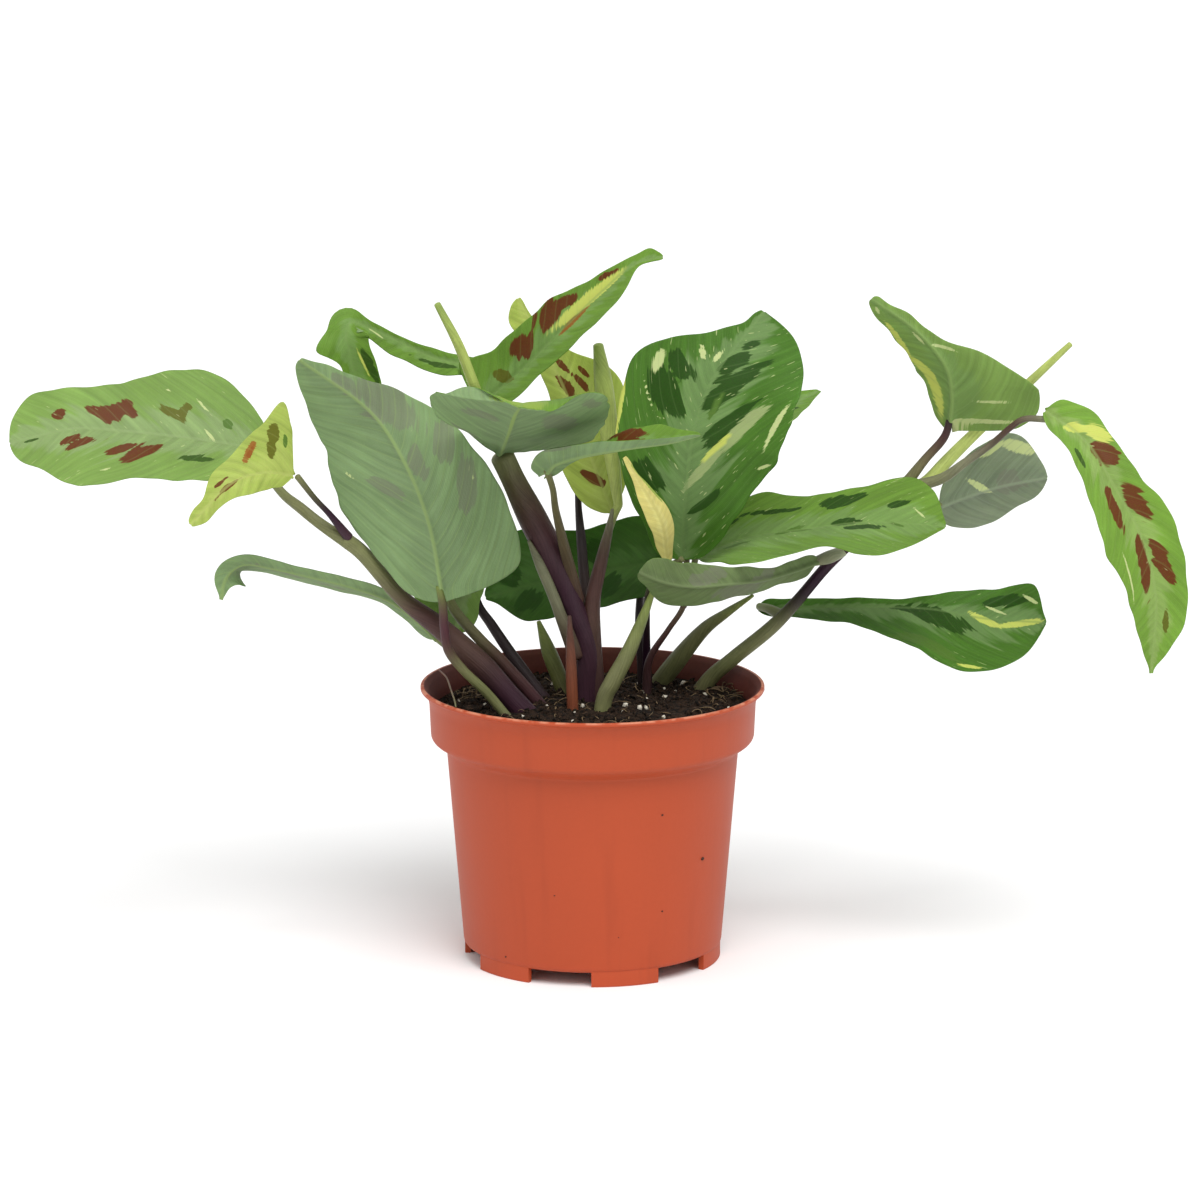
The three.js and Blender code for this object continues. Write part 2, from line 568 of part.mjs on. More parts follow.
// A round stalk along a path, with its own radius at each step, closed at both ends.
function stalkGeometry({ path, radii, gap = 0 }, extra = 0) {
  const curve = curveThrough(path);
  const end = curve.getUtoTmapping(1, curve.getLength() - gap);
  const steps = (path.length - 1) * stepsBetweenPoints;
  const vertices = [];
  for (let i = 0; i <= steps; i++) {
    const u = (i / steps) * end;
    const centre = curve.getPoint(u);
    const along = curve.getTangent(u);
    const across = new THREE.Vector3().crossVectors(along, new THREE.Vector3(0, 1, 0)).normalize();
    const out = new THREE.Vector3().crossVectors(across, along);
    if (i === 0) centre.addScaledVector(along, -extra);
    const radius = valueAlong(radii, u) + extra;
    for (let k = 0; k < stalkSides; k++) {
      const angle = (k / stalkSides) * 2 * Math.PI;
      const point = centre.clone().addScaledVector(across, radius * Math.cos(angle));
      vertices.push(point.addScaledVector(out, radius * Math.sin(angle)));
    }
  }
  const index = [];
  for (let i = 0; i < steps; i++) {
    for (let k = 0; k < stalkSides; k++) {
      const a = i * stalkSides + k;
      const b = i * stalkSides + ((k + 1) % stalkSides);
      index.push(a, a + stalkSides, b, b, a + stalkSides, b + stalkSides);
    }
  }
  const last = steps * stalkSides;
  for (let k = 1; k < stalkSides - 1; k++) {
    index.push(0, k, k + 1);
    index.push(last, last + k + 1, last + k);
  }
  return new THREE.BufferGeometry().setFromPoints(vertices).setIndex(index);
}

function isRooted(stalk) {
  return stalk.path[0][2] < soilLevel - rootDepth;
}

// ---- Leaf blades ----

// Points across the blade at u along it, from the left margin to the right one.
function bladeRow(leaf, u) {
  const t = (1 - Math.cos(Math.PI * u)) / 2; // rows crowd at both ends, so that the ends are round
  const midrib = curveThrough(leaf.midrib);
  const centre = midrib.getPoint(t);
  const along = midrib.getTangent(t);
  const face = leaf.face.length > 1 ? curveThrough(leaf.face).getPoint(t) : new THREE.Vector3(...leaf.face[0]);
  const up = face.addScaledVector(along, -face.dot(along)).normalize();
  const right = new THREE.Vector3().crossVectors(along, up);
  const row = [];
  for (let j = 0; j <= bladeColumns; j++) {
    const across = (2 * j) / bladeColumns - 1;
    const side = across < 0 ? 0 : 1;
    const widths = [bladeBaseHalfWidth, ...(side === 0 ? leaf.left : leaf.right), bladeTipHalfWidth];
    const width = Math.max(valueAlong(widths, u), bladeTipHalfWidth);
    const share = Math.abs(across);
    const fold = angleAlong(leaf.fold[side], t);
    const curl = angleAlong(leaf.curl[side], t);
    const bent = fold + curl * share; // the section is an arc: its slope grows evenly from the midrib
    const out = (width * (Math.sin(bent) - Math.sin(fold))) / curl;
    const rise = (width * (Math.cos(fold) - Math.cos(bent))) / curl;
    const back = (leaf.lobe ?? 0) * share * share * (1 - t) ** baseLobeFade;
    const point = centre.clone().addScaledVector(right, Math.sign(across) * out);
    row.push(point.addScaledVector(up, rise).addScaledVector(along, -back));
  }
  return row;
}

// The sheet's normal at a grid point, from its neighbours.
function sheetNormal(grid, i, j) {
  const row = grid[i];
  const [before, after] = [grid[Math.max(i - 1, 0)][j], grid[Math.min(i + 1, bladeRows)][j]];
  const along = new THREE.Vector3().subVectors(after, before);
  const across = new THREE.Vector3().subVectors(row[Math.min(j + 1, bladeColumns)], row[Math.max(j - 1, 0)]);
  return across.cross(along).normalize();
}

// Both faces of a blade are split along the same diagonals, so that they never cross.
function bladeGeometry(leaf) {
  const grid = [];
  for (let i = 0; i <= bladeRows; i++) grid.push(bladeRow(leaf, i / bladeRows));
  const vertices = [];
  for (const half of [0.5, -0.5]) {
    for (let i = 0; i <= bladeRows; i++) {
      for (let j = 0; j <= bladeColumns; j++) {
        vertices.push(grid[i][j].clone().addScaledVector(sheetNormal(grid, i, j), half * bladeThickness));
      }
    }
  }
  const stride = bladeColumns + 1;
  const under = stride * (bladeRows + 1);
  const at = (i, j) => i * stride + j;
  const index = [];
  for (let i = 0; i < bladeRows; i++) {
    for (let j = 0; j < bladeColumns; j++) {
      const [a, b, c, d] = [at(i, j), at(i + 1, j), at(i + 1, j + 1), at(i, j + 1)];
      index.push(a, c, b, a, d, c);
      index.push(under + a, under + b, under + c, under + a, under + c, under + d);
    }
  }
  const rim = [];
  for (let j = 0; j < bladeColumns; j++) rim.push([at(0, j), at(0, j + 1)]);
  for (let i = 0; i < bladeRows; i++) rim.push([at(i, bladeColumns), at(i + 1, bladeColumns)]);
  for (let j = bladeColumns; j > 0; j--) rim.push([at(bladeRows, j), at(bladeRows, j - 1)]);
  for (let i = bladeRows; i > 0; i--) rim.push([at(i, 0), at(i - 1, 0)]);
  for (const [a, b] of rim) index.push(a, under + a, b, b, under + a, under + b);
  return new THREE.BufferGeometry().setFromPoints(vertices).setIndex(index);
}

// ---- Assembly ----

const plant = new THREE.Group();

function addPiece(name, geometry, colour, pieceRoughness) {
  const look = { color: colour, roughness: pieceRoughness, metalness: 0 };
  const mesh = new THREE.Mesh(geometry, new THREE.MeshStandardMaterial(look));
  mesh.name = name;
  plant.add(mesh);
}

const rootedStalks = shoots.flatMap((shoot) => shoot.stalks).filter(isRooted);
const rootHoles = rootedStalks.map((stalk) => solidFrom(stalkGeometry(stalk, clearance)));

addPiece('pot', geometryFrom(potSolid()), colours.pot, roughness.pot);
addPiece('soil', geometryFrom(soilSolid(rootHoles)), colours.soil, roughness.soil);
for (const shoot of shoots) {
  const solids = shoot.stalks.map((stalk) => solidFrom(stalkGeometry(stalk)));
  addPiece(shoot.name, geometryFrom(joined(solids)), shoot.colour, roughness.plant);
}
for (const leaf of leaves) {
  addPiece(leaf.name, bladeGeometry(leaf), leaf.colour, roughness.plant);
}

export default plant;
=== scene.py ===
import math

import bpy
import numpy as np
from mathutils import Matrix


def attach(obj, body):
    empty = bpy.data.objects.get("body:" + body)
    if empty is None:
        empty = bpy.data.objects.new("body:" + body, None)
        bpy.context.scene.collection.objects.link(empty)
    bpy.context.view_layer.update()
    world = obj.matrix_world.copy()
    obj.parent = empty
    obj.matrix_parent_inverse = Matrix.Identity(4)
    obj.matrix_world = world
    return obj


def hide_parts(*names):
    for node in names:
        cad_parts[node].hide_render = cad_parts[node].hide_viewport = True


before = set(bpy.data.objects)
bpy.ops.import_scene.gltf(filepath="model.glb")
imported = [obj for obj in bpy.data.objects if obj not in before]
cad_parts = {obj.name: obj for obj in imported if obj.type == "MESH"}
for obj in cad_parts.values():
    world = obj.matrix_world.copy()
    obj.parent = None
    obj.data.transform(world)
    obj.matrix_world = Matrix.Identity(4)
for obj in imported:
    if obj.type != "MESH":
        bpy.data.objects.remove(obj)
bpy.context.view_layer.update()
mm = 0.001


def srgb(red, green, blue):
    # a colour given in 0..255, as the linear colour that shaders take
    parts = np.array([red, green, blue]) / 255
    linear = np.where(parts < 0.04045, parts / 12.92, ((parts + 0.055) / 1.055) ** 2.4)
    return (*linear.tolist(), 1.0)


def curveAt(points, along):
    # uniform Catmull-Rom through the points, with the end slopes from mirrored end points
    knots = np.asarray(points, float)
    if knots.ndim == 1:
        knots = knots[:, None]
    if len(knots) == 1:
        return np.repeat(knots, len(along), axis=0)
    knots = np.vstack([2 * knots[0] - knots[1], knots, 2 * knots[-1] - knots[-2]])
    place = np.clip(along, 0, 1) * (len(knots) - 3)
    first = np.minimum(place.astype(int), len(knots) - 4)
    part = (place - first)[:, None]
    a, b, c, d = knots[first], knots[first + 1], knots[first + 2], knots[first + 3]
    return 0.5 * (2 * b + (c - a) * part + (2 * a - 5 * b + 4 * c - d) * part**2
                  + (3 * b - a - 3 * c + d) * part**3)


def tangentAt(points, along, step=0.001):
    # difference of the curve a little before and a little after, made unit length
    return unit(curveAt(points, np.minimum(along + step, 1)) - curveAt(points, np.maximum(along - step, 0)))


def unit(vectors):
    return vectors / np.maximum(np.linalg.norm(vectors, axis=-1, keepdims=True), 1e-12)


def smoothStep(low, high, value):
    part = np.clip((value - low) / (high - low), 0, 1)
    return part * part * (3 - 2 * part)


def gridQuads(rows, columns, start=0, wrap=False):
    # corner numbers of a grid's faces, row by row; wrap joins the last column to the first
    i, j = np.meshgrid(np.arange(rows - 1), np.arange(columns if wrap else columns - 1), indexing="ij")
    a = i * columns + j
    b = i * columns + (j + 1) % columns
    return start + np.stack([a, b, b + columns, a + columns], axis=-1).reshape(-1, 4)


def pieceMesh(name, points, faces, materials, faceMaterial=None, values=None, smooth=True):
    # points in millimetres; values are attributes of the points, with one, three or four numbers each
    mesh = bpy.data.meshes.new(name)
    mesh.from_pydata((np.asarray(points) * mm).tolist(), [], [list(map(int, face)) for face in faces])
    for material in materials:
        mesh.materials.append(material)
    if faceMaterial is not None:
        mesh.polygons.foreach_set("material_index", np.asarray(faceMaterial, np.int32))
    kinds = {1: ("FLOAT", "value"), 3: ("FLOAT_VECTOR", "vector"), 4: ("FLOAT_COLOR", "color")}
    for key, array in (values or {}).items():
        array = np.asarray(array, np.float32)
        kind, field = kinds[1 if array.ndim == 1 else array.shape[1]]
        mesh.attributes.new(key, kind, "POINT").data.foreach_set(field, array.ravel())
    mesh.polygons.foreach_set("use_smooth", np.full(len(mesh.polygons), smooth))
    mesh.validate()
    mesh.update()
    piece = bpy.data.objects.new(name, mesh)
    bpy.context.collection.objects.link(piece)
    return piece


def addNode(tree, kind, inputs=None, **settings):
    # an input is linked where its value is a socket
    node = tree.nodes.new("ShaderNode" + kind)
    for key, value in settings.items():
        setattr(node, key, value)
    for key, value in (inputs or {}).items():
        if isinstance(value, bpy.types.NodeSocket):
            tree.links.new(value, node.inputs[key])
        else:
            node.inputs[key].default_value = value
    return node


def calc(tree, operation, first, second=0.0, third=0.0):
    return addNode(tree, "Math", {0: first, 1: second, 2: third}, operation=operation).outputs[0]


def times(tree, first, second):
    return calc(tree, "MULTIPLY", first, second)


def stretched(tree, place, stretch):
    return addNode(tree, "VectorMath", {0: place, 1: stretch}, operation="MULTIPLY").outputs[0]


def brightened(tree, colour, gain):
    return addNode(tree, "VectorMath", {0: colour, 3: gain}, operation="SCALE").outputs[0]


def noiseAt(tree, place, scale=1.0, detail=2.0):
    return addNode(tree, "TexNoise", {"Vector": place, "Scale": scale, "Detail": detail}).outputs[0]


def mixColour(tree, amount, first, second):
    return addNode(tree, "Mix", {0: amount, 6: first, 7: second}, data_type="RGBA").outputs[2]


def ramp(tree, value, low, high):
    # 0 at low, 1 at high, smooth between them
    inputs = {0: value, 1: low, 2: high, 3: 0.0, 4: 1.0}
    return addNode(tree, "MapRange", inputs, interpolation_type="SMOOTHSTEP").outputs[0]


def attribute(tree, name, output="Fac"):
    return addNode(tree, "Attribute", attribute_name=name).outputs[output]


def objectPosition(tree):
    return addNode(tree, "TexCoord").outputs["Object"]


def newMaterial(name, roughness):
    material = bpy.data.materials.new(name)
    material.use_nodes = True
    tree = material.node_tree
    shader = tree.nodes["Principled BSDF"]
    shader.inputs["Roughness"].default_value = roughness
    return material, tree, shader


def wireShader(tree, shader, colour, specular=0.5, **bump):
    # bump is nothing, or Height, Strength and Distance in metres
    tree.links.new(colour, shader.inputs["Base Color"])
    shader.inputs["Specular IOR Level"].default_value = specular
    if bump:
        tree.links.new(addNode(tree, "Bump", bump).outputs[0], shader.inputs["Normal"])


def newGroup(name, inputs, outputs):
    # inputs: name to (kind, default); outputs: name to kind
    group = bpy.data.node_groups.new(name, "ShaderNodeTree")
    for label, (kind, default) in inputs.items():
        socket = group.interface.new_socket(name=label, in_out="INPUT", socket_type="NodeSocket" + kind)
        if default is not None:
            socket.default_value = default
    for label, kind in outputs.items():
        group.interface.new_socket(name=label, in_out="OUTPUT", socket_type="NodeSocket" + kind)
    return group, group.nodes.new("NodeGroupInput").outputs, group.nodes.new("NodeGroupOutput").inputs


def useGroup(tree, group, inputs):
    return addNode(tree, "Group", inputs, node_tree=group).outputs


def buildMottleGroup():
    # soft cloudy variation of a colour: large patches and fine grain, each by its own amount
    group, given, out = newGroup(
        "mottle",
        {"Color": ("Color", (0.5, 0.5, 0.5, 1)), "Position": ("Vector", None), "Patch Scale": ("Float", 60.0),
         "Patch Amount": ("Float", 0.2), "Grain Scale": ("Float", 900.0), "Grain Amount": ("Float", 0.1)},
        {"Color": "Color", "Patches": "Float", "Grain": "Float"})
    shifts = []
    for kind, label, detail in (("Patch", "Patches", 3.0), ("Grain", "Grain", 2.0)):
        cloud = noiseAt(group, given["Position"], given[kind + " Scale"], detail)
        shifts.append(times(group, calc(group, "SUBTRACT", cloud, 0.5), given[kind + " Amount"]))
        group.links.new(cloud, out[label])
    gain = calc(group, "ADD", calc(group, "ADD", *shifts), 1.0)
    group.links.new(brightened(group, given["Color"], gain), out["Color"])
    return group


veinLook = {"wobbleScale": 0.12, "wobble": 0.25, "finePerSide": 7.0, "side": 0.1, "fine": 0.3, "midrib": (0.9, 0.2)}


def buildVenationGroup(look):
    # Side veins, fine veins between them and the midrib, from the blade's own coordinates: Blade is
    # (side vein count so far, distance from the midrib in mm, distance from the stalk in mm). Side and fine are the
    # half widths of the veins as shares of their spacing.
    group, given, out = newGroup("venation", {"Blade": ("Vector", None)},
                                 {"Side Veins": "Float", "Fine Veins": "Float", "Midrib": "Float"})
    parts = addNode(group, "SeparateXYZ", {0: given["Blade"]}).outputs
    wobble = noiseAt(group, given["Blade"], look["wobbleScale"], 1.0)
    count = calc(group, "ADD", parts[0], times(group, wobble, look["wobble"]))
    fineCount = times(group, count, look["finePerSide"])
    group.links.new(ramp(group, calc(group, "PINGPONG", count, 0.5), look["side"], 0.0), out["Side Veins"])
    group.links.new(ramp(group, calc(group, "PINGPONG", fineCount, 0.5), look["fine"], 0.0), out["Fine Veins"])
    group.links.new(ramp(group, calc(group, "ABSOLUTE", parts[1]), *look["midrib"]), out["Midrib"])
    return group


# the first four are (stretch of the noise over the Blade coordinates, detail)
markLook = {
    "broad": ((1.5, 0.06, 0.01), 2.0), "narrow": ((9.0, 0.2, 0.03), 2.0), "dashes": ((6.0, 0.33, 0.02), 1.0),
    "shade": ((2.6, 0.05, 0.01), 4.0), "shadeRange": (0.8, 0.6), "blotchBroad": 1.7, "blotchNarrow": 0.4,
    "blotchSoft": 0.14, "streakNarrow": 0.9, "streakSoft": 0.2, "fleckLimit": (-0.12, 0.84), "fleckSoft": 0.03,
    "bandBroad": 1.1, "bandEdge": (0.5, 0.25),
}


def buildMarksGroup(look):
    # Masks of what is painted on a blade. Blotch and Streak are smooth fields above zero inside a mark; noise that is
    # stretched along the side veins moves their edges, so that each ends in feathery points. Flecks are short dashes
    # along the veins, thicker where the Flecks value is higher, Band is the zone along the midrib, and Shade is a
    # brightness around 1 that changes from vein to vein.
    group, given, out = newGroup(
        "leafMarks", {"Blotch": ("Float", 0.0), "Streak": ("Float", 0.0), "Flecks": ("Float", 0.0),
                      "Edge": ("Float", 0.0), "Blade": ("Vector", None)},
        {"Blotch": "Float", "Streak": "Float", "Flecks": "Float", "Band": "Float", "Shade": "Float"})

    def veinNoise(kind):
        stretch, detail = look[kind]
        return noiseAt(group, stretched(group, given["Blade"], stretch), detail=detail)

    broad, narrow = [calc(group, "SUBTRACT", veinNoise(kind), 0.5) for kind in ("broad", "narrow")]
    blotch = calc(group, "MULTIPLY_ADD", broad, look["blotchBroad"], given["Blotch"])
    blotch = calc(group, "MULTIPLY_ADD", narrow, look["blotchNarrow"], blotch)
    streak = calc(group, "MULTIPLY_ADD", narrow, look["streakNarrow"], given["Streak"])
    limit = calc(group, "MULTIPLY_ADD", given["Flecks"], *look["fleckLimit"])
    fleck = addNode(group, "MapRange", {0: veinNoise("dashes"), 1: limit,
                                        2: calc(group, "ADD", limit, look["fleckSoft"])})
    band = calc(group, "MULTIPLY_ADD", broad, look["bandBroad"], given["Edge"])
    shade = calc(group, "MULTIPLY_ADD", veinNoise("shade"), *look["shadeRange"])
    for socket, label in ((ramp(group, blotch, 0.0, look["blotchSoft"]), "Blotch"),
                          (ramp(group, streak, 0.0, look["streakSoft"]), "Streak"), (fleck.outputs[0], "Flecks"),
                          (ramp(group, band, *look["bandEdge"]), "Band"), (shade, "Shade")):
        group.links.new(socket, out[label])
    return group


mottle = buildMottleGroup()
venation = buildVenationGroup(veinLook)
leafMarks = buildMarksGroup(markLook)


def mottled(tree, colour, position, patches, grain):
    # patches and grain are (noise scale per metre, amount)
    return useGroup(tree, mottle, {"Color": colour, "Position": position, "Patch Scale": patches[0],
                                   "Patch Amount": patches[1], "Grain Scale": grain[0], "Grain Amount": grain[1]})


# lengths in mm; specks are (x, z, size)
potLook = {
    "height": 97.0, "wall": 1.1, "floor": 5.0, "base": 45.2, "body": 50.5, "bodyTurn": 69.0, "bodyTop": 75.0,
    "collarBottom": 78.6, "collarFoot": 56.4, "collar": 57.0, "flare": 5.2, "lip": 60.0, "lipWidth": 1.4,
    "segments": 180, "sharpAngle": 40, "feet": 6, "footRadius": 44.9, "footWall": 2.0, "footWidth": 31.0,
    "firstFoot": -135.0, "footSteps": 15, "footBevel": 0.25, "footOverlap": 0.5, "drains": 6, "drainRadius": 4.0,
    "drainReach": 34.0, "middleDrain": 5.0, "drainCut": (-2.0, 3.0), "drainSegments": 32,
    "colour": srgb(172, 70, 36), "patches": (18.0, 0.16), "grain": (700.0, 0.06), "roughness": 0.5,
    "roughChange": 0.16, "specular": 0.3, "streakStretch": (160.0, 160.0, 6.0), "streakEdge": (0.5, 0.8),
    # the rim's pale colour is a painted highlight along the top of the lip
    "streakAmount": 0.25, "shadeColour": srgb(146, 58, 30), "rimHighlightColour": srgb(216, 146, 116), "rimHighlightDepth": 0.8,
    "rimHighlightAmount": 0.7, "highlightBreakScale": 260.0, "highlightBreakEdge": (0.35, 0.6),
    # the inside's colour is darkened to paint the shade inside the pot
    "innerShadeColour": srgb(100, 40, 28), "innerPatches": (60.0, 0.7), "innerGrain": (900.0, 0.3), "innerRoughness": 0.7,
    "specks": [(24, 61, 0.5), (38, 42, 0.7), (24, 26, 0.5), (-30, 8, 0.4), (-13, 33, 0.3), (9, 18, 0.3)],
    "speckSeed": 5, "speckStretch": (0.6, 1.1), "speckColour": srgb(58, 34, 24),
}


def outerCorners(look):
    # (radius, height, rounding) up the pot's outer side, from the floor's edge to the lip
    return [(look["base"], look["floor"], 1.6), (look["body"], look["bodyTurn"], 2.0),
            (look["body"] + 0.5, look["bodyTop"], 1.0), (look["collarFoot"], look["collarBottom"], 1.4),
            (look["collar"], look["height"] - look["flare"], 1.6), (look["lip"] - 1.6, look["height"] - 1.8, 0.8),
            (look["lip"], look["height"] - 1.2, 0.3), (look["lip"], look["height"], 0.5)]


def innerCorners(look):
    # the same down the inner side, from the lip to the floor
    wall = look["wall"]
    return [(look["lip"] - look["lipWidth"], look["height"], 0.3), (look["lip"] - 2.8, look["height"] - 1.6, 0.8),
            (look["collar"] - wall, look["height"] - look["flare"] - 0.4, 1.2),
            (look["collarFoot"] - wall, look["collarBottom"] + 0.3, 1.0),
            (look["body"] + 0.4 - wall, look["bodyTop"] + 0.2, 1.0), (look["body"] - wall, look["bodyTurn"], 2.0),
            (look["base"] - wall, look["floor"] + wall, 1.5)]


def outerRadius(height, look):
    radii, heights, _ = zip(*outerCorners(look))
    return np.interp(height, heights, radii)


def roundedProfile(corners, steps=5):
    # straight runs between the corners; each corner (radius, height, rounding) becomes a quadratic arc that
    # starts and ends its rounding away from it
    points = np.array([corner[:2] for corner in corners], float)
    rounding = np.array([corner[2] for corner in corners], float)[1:-1, None]
    before = unit(points[:-2] - points[1:-1]) * rounding + points[1:-1]
    after = unit(points[2:] - points[1:-1]) * rounding + points[1:-1]
    part = np.linspace(0, 1, steps)[None, :, None]
    arcs = ((1 - part) ** 2 * before[:, None] + 2 * part * (1 - part) * points[1:-1, None]
            + part**2 * after[:, None])
    return np.vstack([points[:1], arcs.reshape(-1, 2), points[-1:]])


def turnedMesh(profile, segments):
    # every profile point swept round the axis; the two ends on the axis are single points
    angles = np.linspace(0, 2 * math.pi, segments, endpoint=False)
    ring = np.stack([np.cos(angles), np.sin(angles)], axis=1)
    body = profile[1:-1]
    points = np.concatenate([body[:, None, :1] * ring[None], np.repeat(body[:, None, 1:], segments, 1)], axis=2)
    points = np.vstack([points.reshape(-1, 3), [[0, 0, profile[0, 1]], [0, 0, profile[-1, 1]]]])
    quads = gridQuads(len(body), segments, wrap=True)
    here = np.arange(segments)
    after = (here + 1) % segments
    low = np.stack([after, here, np.full(segments, len(points) - 2)], axis=1)
    top = (len(body) - 1) * segments
    high = np.stack([top + here, top + after, np.full(segments, len(points) - 1)], axis=1)
    return points, quads.tolist() + low.tolist() + high.tolist()


def footMesh(middle, look):
    # an arc of wall under the floor: a ring section, swept over the foot's width
    steps, bevel, top = look["footSteps"], look["footBevel"], look["floor"] + look["footOverlap"]
    angles = np.radians(np.linspace(middle - look["footWidth"] / 2, middle + look["footWidth"] / 2, steps))
    outer, inner = look["footRadius"], look["footRadius"] - look["footWall"]
    section = np.array([[inner, top], [inner, bevel], [inner + bevel, 0], [outer - bevel, 0], [outer, bevel],
                        [outer, top]])
    around = np.stack([np.cos(angles), np.sin(angles)], axis=1)
    points = np.concatenate([section[None, :, :1] * around[:, None], np.repeat(section[None, :, 1:], steps, 0)],
                            axis=2)
    columns = len(section)
    quads = gridQuads(steps, columns, wrap=True)[:, ::-1].tolist()
    ends = [list(range(columns)), [(steps - 1) * columns + k for k in range(columns)][::-1]]
    return points.reshape(-1, 3), quads + ends


def joinParts(parts):
    # several (points, faces) pairs as one
    points, faces, start = [], [], 0
    for partPoints, partFaces in parts:
        points.append(partPoints)
        faces += [[corner + start for corner in face] for face in partFaces]
        start += len(partPoints)
    return np.vstack(points), faces


def potMaterial(look):
    # plastic with faint upright streaks, and a painted highlight along the rim's edge, broken up by noise
    material, tree, shader = newMaterial("potPlastic", look["roughness"])
    position = objectPosition(tree)
    cloud = mottled(tree, look["colour"], position, look["patches"], look["grain"])
    streaks = ramp(tree, noiseAt(tree, stretched(tree, position, look["streakStretch"])), *look["streakEdge"])
    base = mixColour(tree, times(tree, streaks, look["streakAmount"]), cloud["Color"], look["shadeColour"])
    height = addNode(tree, "SeparateXYZ", {0: position}).outputs[2]
    # a painted highlight on the top of the lip, broken up by noise
    highlightBreak = ramp(tree, noiseAt(tree, position, look["highlightBreakScale"]), *look["highlightBreakEdge"])
    rim = times(tree, ramp(tree, height, (look["height"] - look["rimHighlightDepth"]) * mm, look["height"] * mm), highlightBreak)
    base = mixColour(tree, times(tree, rim, look["rimHighlightAmount"]), base, look["rimHighlightColour"])
    rough = calc(tree, "ADD", times(tree, cloud["Patches"], look["roughChange"]),
                 look["roughness"] - look["roughChange"] / 2)
    tree.links.new(rough, shader.inputs["Roughness"])
    wireShader(tree, shader, base, look["specular"], Height=cloud["Grain"], Strength=0.12, Distance=0.0002)
    return material


def innerShadeMaterial(look):
    # the same plastic in a dark colour that is painted shade for the inside of the pot
    material, tree, shader = newMaterial("potInnerShade", look["innerRoughness"])
    cloud = mottled(tree, look["innerShadeColour"], objectPosition(tree), look["innerPatches"], look["innerGrain"])
    wireShader(tree, shader, cloud["Color"])
    return material


def drainCutter(look):
    # cylinders through the floor: one in the middle, and a ring of them between the feet
    spots = [(0.0, 0.0, look["middleDrain"])]
    for k in range(look["drains"]):
        angle = math.radians(look["firstFoot"] + (k + 0.5) * 360 / look["drains"])
        reach = look["drainReach"]
        spots.append((reach * math.cos(angle), reach * math.sin(angle), look["drainRadius"]))
    low, high = look["drainCut"]
    drains = []
    for x, y, radius in spots:
        points, faces = turnedMesh(np.array([[0, low], [radius, low], [radius, high], [0, high]]),
                                   look["drainSegments"])
        drains.append((points + [x, y, look["floor"]], faces))
    return pieceMesh("drainCutter", *joinParts(drains), [])


def makePot(look):
    outer, inner = outerCorners(look), innerCorners(look)
    corners = [(0, look["floor"], 0), *outer, *inner, (0, look["floor"] + look["wall"], 0)]
    profile = roundedProfile(corners)
    points, faces = turnedMesh(profile, look["segments"])
    rowsPerCorner = (len(profile) - 2) // (len(corners) - 2)
    row = np.repeat(np.arange(len(profile) - 3), look["segments"])
    # faces of the inner side take the second material, whose dark colour is painted shade
    shadedInside = np.concatenate([row >= rowsPerCorner * len(outer), np.zeros(look["segments"]),
                              np.ones(look["segments"])])
    pot = pieceMesh("potShell", points, faces, [potMaterial(look), innerShadeMaterial(look)], shadedInside)
    cutter = drainCutter(look)
    cut = pot.modifiers.new("drains", "BOOLEAN")
    cut.operation = "DIFFERENCE"
    cut.object = cutter
    cut.solver = "EXACT"
    applyModifiers(pot)
    bpy.data.objects.remove(cutter)
    feet = [footMesh(look["firstFoot"] + k * 360 / look["feet"], look) for k in range(look["feet"])]
    feetPiece = pieceMesh("potFeet", *joinParts(feet), [pot.data.materials[0]], smooth=False)
    for piece in (pot, feetPiece):
        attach(piece, "root")
    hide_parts("pot")
    pot.data.set_sharp_from_angle(angle=math.radians(look["sharpAngle"]))


def applyModifiers(piece):
    graph = bpy.context.evaluated_depsgraph_get()
    finished = bpy.data.meshes.new_from_object(piece.evaluated_get(graph))
    old = piece.data
    piece.modifiers.clear()
    piece.data = finished
    finished.name = piece.name
    bpy.data.meshes.remove(old)


def makeSpecks(look):
    # crumbs of soil that stick to the pot's front
    x, z, sizes = np.array(look["specks"], float).T
    radius = outerRadius(z, look)
    centres = np.stack([x, -np.sqrt(radius**2 - x**2), z], 1)
    dice = np.random.default_rng(look["speckSeed"])
    specks = pieceMesh("potSpecks", *lumps(dice, centres, sizes, look["speckStretch"]),
                       [plainMaterial("speck", look["speckColour"], 0.9)], smooth=False)
    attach(specks, "root")


makePot(potLook)
print("pot made")

